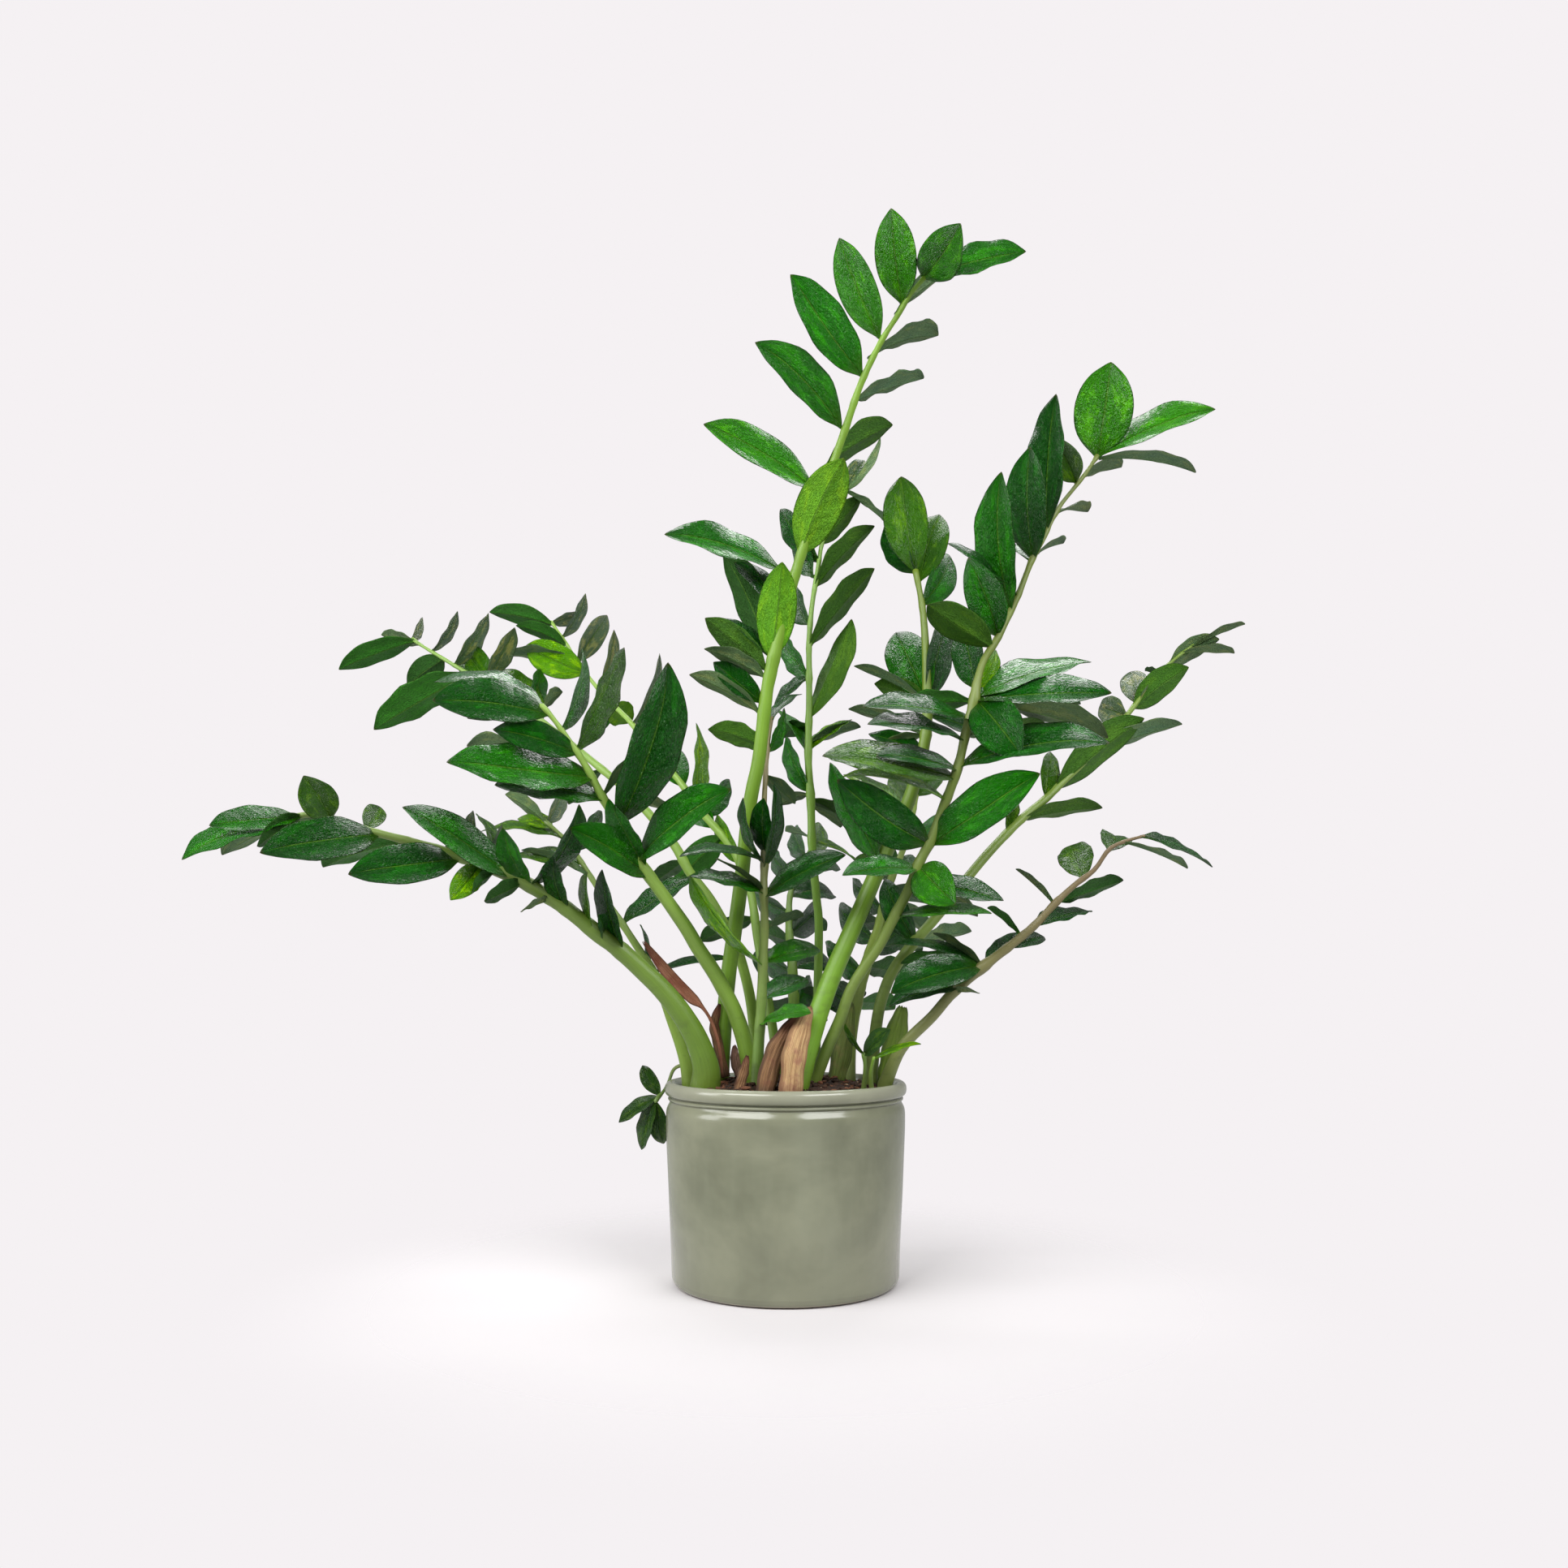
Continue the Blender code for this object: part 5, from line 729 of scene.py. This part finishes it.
def blade_mesh(plan, small):
    """A leaflet as a thin closed shell: rows of (top, bottom) points with their leaf coordinates."""
    r = random.Random(int(abs(plan["wave"]) * 1e6) + int(plan["long"] * 1e6))
    a, n, long = plan["along"], plan["normal"], plan["long"]
    b = a.cross(n)
    bend = plan["bow"] * long * (0.5 if plan["kind"] in "dLR" else 0.8)
    twist = r.uniform(-0.28, 0.28)
    sickle = r.uniform(-0.035, 0.035) * long
    ripple, phase, beats = r.uniform(0.015, 0.05), r.uniform(0, 6.28), r.uniform(2.0, 3.4)
    lop = r.uniform(-0.06, 0.06)
    recurve = r.uniform(0.0, 0.05) * long * (0.2 if plan["kind"] in "dLR" else 1.0)
    verts, coords, faces, unders = [], [], [], []
    seed = r.uniform(0, 40)

    def surface(s, x):
        base = plan["foot"].lerp(plan["tip"], s) + n * (bend * 4 * s * (1 - s) - bend * 0.5 * s * s)
        base = base + b * (sickle * math.sin(math.pi * s)) - n * (recurve * max(s - 0.7, 0.0) ** 2 * 8)
        w = eased(OUTLINE, s)
        half = 0.5 * plan["width"] * w * (1.0 + (lop if x > 0 else -lop))
        q = abs(x)
        rise = half * (0.42 * q - 0.22 * q * q) + half * ripple * q * q * math.sin(beats * 6.28 * s + phase + (1.3 if x > 0 else 0)) * 2.0
        ang = twist * (s - 0.35)
        bb = b * math.cos(ang) + n * math.sin(ang)
        nn = n * math.cos(ang) - b * math.sin(ang)
        return base + bb * (x * half) + nn * rise, nn, half

    def thick(s, x, half):
        mid = 0.00048 + 0.0009 * math.exp(-(s / 0.05) ** 2) + 0.0004 * math.exp(-(s / 0.35) ** 2) * math.exp(-(x / 0.12) ** 2)
        return mid * (1.0 - 0.55 * abs(x) ** 3)

    columns = len(COLS)
    start = plan["axis"]
    out = plan["foot"] - start
    # stalk rows, from inside the stem to the foot of the blade
    stalk_rows = [0.0, 1.0] if plan["stalk"] < 0.006 else [0.0, 0.5, 1.0]
    stalk_half = min(0.0017, 0.075 * plan["width"]) + 0.0004
    rows = []
    for k in stalk_rows:
        c = start + out * k - a * 0.0006 * (1 - k)
        top, bottom = [], []
        for x in COLS:
            p = c + b * (x * stalk_half) + n * (0.0009 * math.sqrt(max(1 - x * x, 0)) - 0.0001)
            top.append((p, (0.0, x, seed)))
            q = c + b * (x * stalk_half) - n * (0.0011 * math.sqrt(max(1 - x * x, 0)))
            bottom.append((q, (0.0, x, seed)))
        rows.append((top, bottom))
    for s in ROWS:
        top, bottom = [], []
        for x in COLS:
            p, nn, half = surface(s, x)
            groove = 0.00022 * math.exp(-(x / 0.05) ** 2) * (1 - s)
            top.append((p - nn * groove, (s, x, seed)))
            t = thick(s, x, half) + 0.00055 * math.exp(-(x / 0.07) ** 2) * (1 - 0.8 * s)
            bottom.append((p - nn * t, (s, x, seed)))
        rows.append((top, bottom))
    index = []
    for top, bottom in rows:
        it, ib = [], []
        for k, (p, c) in enumerate(top):
            it.append(len(verts))
            verts.append(p)
            coords.append(c)
        for k, (p, c) in enumerate(bottom):
            if k in (0, columns - 1):
                ib.append(it[k])
            else:
                ib.append(len(verts))
                verts.append(p)
                coords.append(c)
        index.append((it, ib))
    tip_point, _, _ = surface(1.0, 0.0)
    tip_id = len(verts)
    verts.append(tip_point)
    coords.append((1.0, 0.0, seed))
    for i in range(len(index) - 1):
        (t0, b0), (t1, b1) = index[i], index[i + 1]
        for k in range(columns - 1):
            faces.append((t0[k], t0[k + 1], t1[k + 1], t1[k]))
            unders.append(0.0)
            faces.append((b0[k], b1[k], b1[k + 1], b0[k + 1]))
            unders.append(1.0)
    t1, b1 = index[-1]
    for k in range(columns - 1):
        faces.append((t1[k], t1[k + 1], tip_id))
        unders.append(0.0)
        faces.append((b1[k + 1], b1[k], tip_id))
        unders.append(1.0)
    t0, b0 = index[0]
    faces.append(tuple(reversed([*t0, *reversed(b0[1:-1])])))
    unders.append(0.0)
    return verts, faces, coords, unders


def stalk_mesh(stem, feet, step, sides):
    """Round fleshy stalk with a slight swelling where each leaflet is set."""
    base = stem.rings(step)
    # start from a dense list of centres and radii
    n = max(12, round(stem.length / step))
    rings = [(base[0][0], base[0][1], 0.0), (base[1][0], base[1][1], 0.0)]
    for i in range(0, n + 1):
        s = stem.length * i / n
        t = s / stem.length
        r = stem.radius(t)
        for f in feet:
            r += 0.00045 * math.exp(-((s - f) / 0.0045) ** 2)
        if t < 0.12:
            r *= 1.0 + 0.10 * (1 - t / 0.12) ** 2
        rings.append((stem.at(s), r, t))
    verts, coords, faces = [], [], []
    normal = None
    r0 = random.Random(len(stem.name) * 31 + int(stem.length * 1e5))
    seed = r0.uniform(0, 50)
    count = len(rings)
    for i, (c, r, t) in enumerate(rings):
        tangent = (rings[min(i + 1, count - 1)][0] - rings[max(i - 1, 0)][0]).normalized()
        if normal is None:
            normal = tangent.cross(Vector((0, 1, 0))).normalized()
        normal = (normal - tangent * normal.dot(tangent)).normalized()
        other = tangent.cross(normal)
        for k in range(sides):
            w = math.tau * k / sides
            ridge = 1.0 + 0.035 * math.sin(2 * w + seed) + 0.018 * math.sin(5 * w + seed * 2)
            ridge += 0.02 * noise.noise(Vector((c.x * 60, c.y * 60, c.z * 60 + k)))
            verts.append(c + (normal * math.cos(w) + other * math.sin(w)) * (r * ridge))
            coords.append((t * stem.length / 0.5, w, seed))
    for i in range(count - 1):
        for k in range(sides):
            j = (k + 1) % sides
            faces.append((i * sides + k, i * sides + j, (i + 1) * sides + j, (i + 1) * sides + k))
    faces.append(tuple(reversed(range(sides))))
    # rounded end
    end = rings[-1][0] + (rings[-1][0] - rings[-2][0]).normalized() * rings[-1][1] * 0.8
    verts.append(end)
    coords.append((stem.length / 0.5, 0.0, seed))
    last = (count - 1) * sides
    for k in range(sides):
        faces.append((last + k, last + (k + 1) % sides, len(verts) - 1))
    return verts, faces, coords


def build_frond(name, depths, radii, line, rows):
    stem = Stem(name, depths, radii, line)
    plans = [leaf_plan(stem, row, i) for i, row in enumerate(rows)]
    feet = [stem.nearest(row[0], row[1]) for row in rows]
    small = stem.length < 0.12
    sv, sf, sc = stalk_mesh(stem, feet, 0.003 if small else 0.006, 12 if small else 18)
    stalk = mesh_object(name.replace("frond_", "stalk_") if name.startswith("frond_") else name + "_stalk", sv, sf)
    per_vertex(stalk, "stalk", sc)
    low, high = STALKS[name]
    top = max(c[0] for c in sc)
    per_vertex(stalk, "tint", [tuple(lerp(low[k], high[k], min(c[0] / top * 1.2, 1.0)) for k in range(3)) + (1.0,) for c in sc], "FLOAT_COLOR")
    stalk.data.materials.append(STALK)
    lv, lf, lc, lu, lt = [], [], [], [], []
    for plan, row in zip(plans, rows):
        v, f, c, u = blade_mesh(plan, small)
        k = len(lv)
        lv += v
        lf += [tuple(i + k for i in q) for q in f]
        lc += c
        lu += u
        r = random.Random(int(plan["long"] * 1e7))
        hue = HUES[plan["hue"]]
        g = r.uniform(0.86, 1.14)
        warm = r.uniform(-0.10, 0.12)
        tint = (hue[0] * g * (1 + warm), hue[1] * g, hue[2] * g * (1 - warm), 1.0)
        lt += [tint] * len(v)
    leaves = mesh_object(name.replace("frond_", "leaflets_") if name.startswith("frond_") else name + "_leaflets", lv, lf)
    per_vertex(leaves, "leaf", lc)
    per_vertex(leaves, "tint", lt, "FLOAT_COLOR")
    leaves.data.materials.append(LEAF)
    leaves.data.materials.append(LEAF_UNDER)
    leaves.data.polygons.foreach_set("material_index", [int(u) for u in lu])
    for piece in (stalk, leaves):
        bm = bmesh.new()
        bm.from_mesh(piece.data)
        bmesh.ops.recalc_face_normals(bm, faces=bm.faces)
        bm.to_mesh(piece.data)
        bm.free()
        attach(piece, "root")
        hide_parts(name)
    return stem


STEMS = [build_frond(*f) for f in FRONDS]


# ---------------------------------------------------------------- sheaths
def soil_top(x, y):
    share = math.hypot(x, y) / (POT_INNER_RADIUS - 0.0003)
    return lerp(SOIL_CROWN_Z, SOIL_EDGE_Z, min(share, 1.0) ** 2)


def build_sheath(name, z0, z1, halves, line, hollow, key):
    """A papery sheet, ribbed lengthwise, hollow towards the stem, with a torn tip and curled edges."""
    r = random.Random(len(name) * 97 + int(line[0][0]))
    path = rounded_line(line, 10)
    rows, cols = 40, 22
    centres = []
    for i in range(rows):
        t = i / (rows - 1)
        f = t * (len(path) - 1)
        k = min(int(f), len(path) - 2)
        u = lerp(path[k][0], path[k + 1][0], f - k)
        v = lerp(path[k][1], path[k + 1][1], f - k)
        centres.append(drawn(u, v, lerp(z0, z1, t)))
    centres[0] = centres[0] + (centres[0] - centres[1]).normalized() * 0.004
    front, back, coords = [], [], []
    seed = r.uniform(0, 30)
    for i, c in enumerate(centres):
        t = i / (rows - 1)
        half = eased(halves, t) * 0.001
        along = (centres[min(i + 1, rows - 1)] - centres[max(i - 1, 0)]).normalized()
        across = along.cross(Vector((0, 1, 0))).normalized()
        rear = across.cross(along).normalized()
        if rear.y < 0:
            rear = -rear
        fr, bk = [], []
        for j in range(cols):
            x = -1 + 2 * j / (cols - 1)
            ragged = 1.0 + 0.10 * noise.noise(Vector((t * 6 + seed, x * 2, 3.1))) + 0.05 * math.sin(t * 23 + seed)
            ribs = 0.00035 * math.sin(x * 15 + seed + 2.0 * noise.noise(Vector((t * 3, x * 2, seed))))
            crumple = 0.0011 * noise.noise(Vector((x * 1.6 + seed, t * 7, 0.4)))
            p = c + across * (x * half * ragged) + rear * (half * hollow * 2.0 * (x * x) * 0.5 + ribs + crumple)
            if i == rows - 1:
                p = p + along * (0.0035 * noise.noise(Vector((x * 5 + seed, 0.3, 0.8))) - 0.001)
            fr.append(p)
            bk.append(p + rear * 0.0006)
            coords.append((t, x, seed))
        front.append(fr)
        back.append(bk)
    verts = [p for row in front for p in row] + [p for row in back for p in row]
    coords = coords + coords
    off = rows * cols
    faces = []
    for i in range(rows - 1):
        for j in range(cols - 1):
            q = (i * cols + j, i * cols + j + 1, (i + 1) * cols + j + 1, (i + 1) * cols + j)
            faces.append(q)
            faces.append(tuple(off + k for k in reversed(q)))
    for i in range(rows - 1):
        for j in (0, cols - 1):
            q = (i * cols + j, (i + 1) * cols + j, off + (i + 1) * cols + j, off + i * cols + j)
            faces.append(q if j == 0 else tuple(reversed(q)))
    for j in range(cols - 1):
        for i in (0, rows - 1):
            q = (i * cols + j, i * cols + j + 1, off + i * cols + j + 1, off + i * cols + j)
            faces.append(q if i else tuple(reversed(q)))
    obj = mesh_object(name + "_sheet", verts, faces)
    bm = bmesh.new()
    bm.from_mesh(obj.data)
    bmesh.ops.recalc_face_normals(bm, faces=bm.faces)
    bm.to_mesh(obj.data)
    bm.free()
    per_vertex(obj, "sheet", coords)
    obj.data.materials.append(DRY[key])
    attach(obj, "root")
    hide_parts(name)


for row in SHEATHS:
    build_sheath(*row)


# ---------------------------------------------------------------- pot
def turned(name, profile, segments, wobble=0.0):
    verts, faces, rows = [], [], []
    for r, z in profile:
        if r < 1e-7:
            rows.append([len(verts)])
            verts.append((0, 0, z))
        else:
            rows.append(list(range(len(verts), len(verts) + segments)))
            for k in range(segments):
                w = math.tau * k / segments
                rr = r + wobble * noise.noise(Vector((math.cos(w) * 1.4, math.sin(w) * 1.4, z * 18)))
                verts.append((rr * math.cos(w), rr * math.sin(w), z))
    for a, b in zip(rows, rows[1:]):
        for k in range(segments):
            j = (k + 1) % segments
            if len(a) == 1:
                faces.append((a[0], b[k], b[j]))
            elif len(b) == 1:
                faces.append((a[k], b[0], a[j]))
            else:
                faces.append((a[k], b[k], b[j], a[j]))
    obj = mesh_object(name, verts, faces)
    bm = bmesh.new()
    bm.from_mesh(obj.data)
    bmesh.ops.recalc_face_normals(bm, faces=bm.faces)
    bm.to_mesh(obj.data)
    bm.free()
    return obj


def smooth_profile(points, per_span):
    return rounded_line(points, per_span)


rim = POT_RIM_DIAMETER / 2
outer = [(POT_FOOT_RADIUS - 0.0080, 0.0), (POT_FOOT_RADIUS - 0.0045, 0.0006), (POT_FOOT_RADIUS - 0.0018, 0.0025), (POT_FOOT_RADIUS - 0.0004, 0.0060),
         (POT_FOOT_RADIUS + 0.0001, 0.0110), (POT_FOOT_RADIUS + 0.0010, 0.040), (lerp(POT_FOOT_RADIUS, POT_SHOULDER_RADIUS, 0.62), 0.090),
         (POT_SHOULDER_RADIUS - 0.0003, 0.133), (POT_SHOULDER_RADIUS, 0.1500), (POT_SHOULDER_RADIUS - 0.0002, 0.1564), (POT_SHOULDER_RADIUS - 0.0010, 0.1602),
         (POT_SHOULDER_RADIUS - 0.0026, 0.1634), (rim - 0.0046, 0.1650), (rim - 0.0047, 0.1658), (rim - 0.0033, 0.1670), (rim - 0.0031, 0.1684),
         (rim - 0.0043, 0.1695), (rim - 0.0042, 0.1703), (rim - 0.0018, 0.1714), (rim - 0.0005, 0.1734), (rim, 0.1766), (rim - 0.0006, 0.1800),
         (rim - 0.0026, 0.1823), (rim - 0.0052, POT_HEIGHT), (rim - 0.0080, 0.1822), (rim - 0.0100, 0.1800), (POT_INNER_RADIUS + 0.0006, 0.1765),
         (POT_INNER_RADIUS, 0.1700)]
profile = [(0.0, 0.0), (0.05, 0.0), (0.09, 0.0)] + smooth_profile(outer, 4) + [(POT_INNER_RADIUS, 0.10), (POT_INNER_RADIUS, POT_FLOOR + 0.004), (POT_INNER_RADIUS - 0.004, POT_FLOOR), (0.0, POT_FLOOR)]
pot = turned("glazed_pot", profile, 192, 0.00035)
pot.data.materials.append(GLAZE)
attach(pot, "root")
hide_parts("pot")


# ---------------------------------------------------------------- soil
def build_soil():
    rings, segs = 74, 210
    wall = POT_INNER_RADIUS - 0.0004
    verts, faces, grain = [], [], []

    def heap(x, y):
        z = soil_top(x, y)
        p = Vector((x * 55, y * 55, 0.5))
        z += 0.0034 * noise.noise(p) + 0.0022 * noise.noise(p * 2.7) + 0.0013 * noise.noise(p * 7.0) + 0.0007 * noise.noise(p * 17.0)
        return z
    verts.append((0, 0, heap(0, 0)))
    grain.append(0.0)
    for i in range(1, rings + 1):
        r = wall * i / rings
        for k in range(segs):
            w = math.tau * k / segs
            x, y = r * math.cos(w), r * math.sin(w)
            z = heap(x, y) if i < rings else SOIL_EDGE_Z - 0.002
            verts.append((x, y, z))
            grain.append(0.0)
    for k in range(segs):
        faces.append((0, 1 + k, 1 + (k + 1) % segs))
    for i in range(rings - 1):
        a, b = 1 + i * segs, 1 + (i + 1) * segs
        for k in range(segs):
            j = (k + 1) % segs
            faces.append((a + k, b + k, b + j, a + j))
    # sides and bottom
    a = 1 + (rings - 1) * segs
    low = len(verts)
    for k in range(segs):
        w = math.tau * k / segs
        verts.append((wall * math.cos(w), wall * math.sin(w), POT_FLOOR + 0.0045))
        grain.append(0.0)
    for k in range(segs):
        j = (k + 1) % segs
        faces.append((a + k, low + k, low + j, a + j))
    faces.append(tuple(reversed(range(low, low + segs))))
    # crumbs and bark chips lying on the heap
    r = random.Random(11)
    base = bmesh.new()
    bmesh.ops.create_icosphere(base, subdivisions=2, radius=1.0)
    bv = [v.co.copy() for v in base.verts]
    bf = [tuple(v.index for v in f.verts) for f in base.faces]
    base.free()
    for _ in range(900):
        w, q = r.uniform(0, math.tau), wall * 0.975 * math.sqrt(r.random())
        x, y = q * math.cos(w), q * math.sin(w)
        size = r.choice([0.0007, 0.0009, 0.0011, 0.0014, 0.0018, 0.0026]) * r.uniform(0.8, 1.25)
        if q > wall - size * 2:
            continue
        long, flat = r.uniform(1.0, 2.0), r.uniform(0.4, 0.8)
        turn = Matrix.Rotation(r.uniform(0, math.tau), 3, "Z") @ Matrix.Rotation(r.uniform(-0.5, 0.5), 3, "X")
        off = Vector((x, y, heap(x, y) + size * 0.25))
        tone = 0.10 if r.random() < 0.25 else (r.uniform(0.30, 0.9) if r.random() < 0.97 else 0.98)
        jig = r.uniform(0, 50)
        k = len(verts)
        for p in bv:
            s = 1 + 0.35 * noise.noise(p * 1.7 + Vector((jig, 0, 0)))
            verts.append(tuple(off + turn @ Vector((p.x * long * s, p.y * s, p.z * flat * s)) * size))
            grain.append(tone)
        faces += [tuple(i + k for i in f) for f in bf]
    obj = mesh_object("potting_mix", verts, faces)
    bm = bmesh.new()
    bm.from_mesh(obj.data)
    bmesh.ops.recalc_face_normals(bm, faces=bm.faces)
    bm.to_mesh(obj.data)
    bm.free()
    per_vertex(obj, "grain", grain, "FLOAT")
    obj.data.materials.append(SOIL)
    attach(obj, "root")
    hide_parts("soil")


build_soil()

# ---------------------------------------------------------------- stage
STUDIO = srgb(245, 241, 243)


def floor_material():
    """Pale floor that runs out into the equally pale studio, so no horizon shows."""
    m = Nodes("floor")
    x, y, z = m.split(m.coords())
    away = m.math("SQRT", m.math("ADD", m.math("MULTIPLY", x, x), m.math("MULTIPLY", y, y)))
    fade = m.ramp(away, 0.14, 0.50)
    clear = m.add("ShaderNodeBsdfTransparent")
    both = m.add("ShaderNodeMixShader")
    m.put(both.inputs[0], fade)
    m.link(m.bsdf.outputs[0], both.inputs[1])
    m.link(clear.outputs[0], both.inputs[2])
    m.link(both.outputs[0], m.out.inputs[0])
    m.bsdf.inputs["Specular IOR Level"].default_value = 0.1
    return m.finish(Base_Color=FLOOR_COLOUR, Roughness=0.9)


FLOOR_COLOUR = (0.72, 0.692, 0.706, 1.0)
floor = mesh_object("floor", [(-6, -6, 0), (6, -6, 0), (6, 6, 0), (-6, 6, 0)], [(0, 1, 2, 3)], False)
floor.location.z = -0.0004
floor.data.materials.append(floor_material())

world = bpy.data.worlds.new("studio")
bpy.context.scene.world = world
world.use_nodes = True
wt = world.node_tree
wt.nodes.clear()
seen = wt.nodes.new("ShaderNodeBackground")
seen.inputs[0].default_value = STUDIO
fill = wt.nodes.new("ShaderNodeBackground")
way = wt.nodes.new("ShaderNodeTexCoord")
high = wt.nodes.new("ShaderNodeSeparateXYZ")
wt.links.new(way.outputs["Generated"], high.inputs[0])
level = wt.nodes.new("ShaderNodeMapRange")
level.inputs["From Min"].default_value = -0.35
level.inputs["From Max"].default_value = 0.25
level.inputs["To Min"].default_value = 0.62
level.inputs["To Max"].default_value = 0.20
wt.links.new(high.outputs[2], level.inputs["Value"])
wt.links.new(level.outputs[0], fill.inputs[1])
fill.inputs[0].default_value = (1.0, 1.0, 1.0, 1.0)
path = wt.nodes.new("ShaderNodeLightPath")
both = wt.nodes.new("ShaderNodeMixShader")
wout = wt.nodes.new("ShaderNodeOutputWorld")
wt.links.new(path.outputs["Is Camera Ray"], both.inputs[0])
wt.links.new(fill.outputs[0], both.inputs[1])
wt.links.new(seen.outputs[0], both.inputs[2])
wt.links.new(both.outputs[0], wout.inputs[0])


def area(name, place, target, size, power, colour=(1, 1, 1)):
    light = bpy.data.lights.new(name, "AREA")
    light.shape = "RECTANGLE"
    light.size, light.size_y = size
    light.energy = power
    light.color = colour
    obj = bpy.data.objects.new(name, light)
    bpy.context.scene.collection.objects.link(obj)
    obj.location = place
    obj.rotation_euler = (Vector(target) - Vector(place)).to_track_quat("-Z", "Y").to_euler()
    return obj


area("softbox_left", (-1.20, -1.38, 1.70), (0, 0, 0.40), (1.62, 1.00), 42)
area("softbox_right", (1.20, -1.38, 1.70), (0, 0, 0.40), (1.62, 1.00), 39)
area("side_left", (-2.1, -0.5, 1.05), (0, 0, 0.5), (0.9, 1.3), 20)
area("top_back", (0.0, 1.2, 2.1), (0, 0, 0.5), (1.8, 0.9), 30)

camera = bpy.data.cameras.new("camera")
cam = bpy.data.objects.new("camera", camera)
bpy.context.scene.collection.objects.link(cam)
cam.location = (0.0, -EYE_DISTANCE, EYE_HEIGHT)
cam.rotation_euler = (math.radians(90), 0, 0)
camera.sensor_width = 36.0
camera.lens = FOCAL / 1932 * 36.0
camera.shift_x = -(AXIS_U - 966) / 1932
camera.shift_y = (HORIZON_V - 966) / 1932
camera.clip_start = 0.02
camera.dof.use_dof = False
bpy.context.scene.camera = cam
bpy.context.scene.view_settings.view_transform = "Standard"
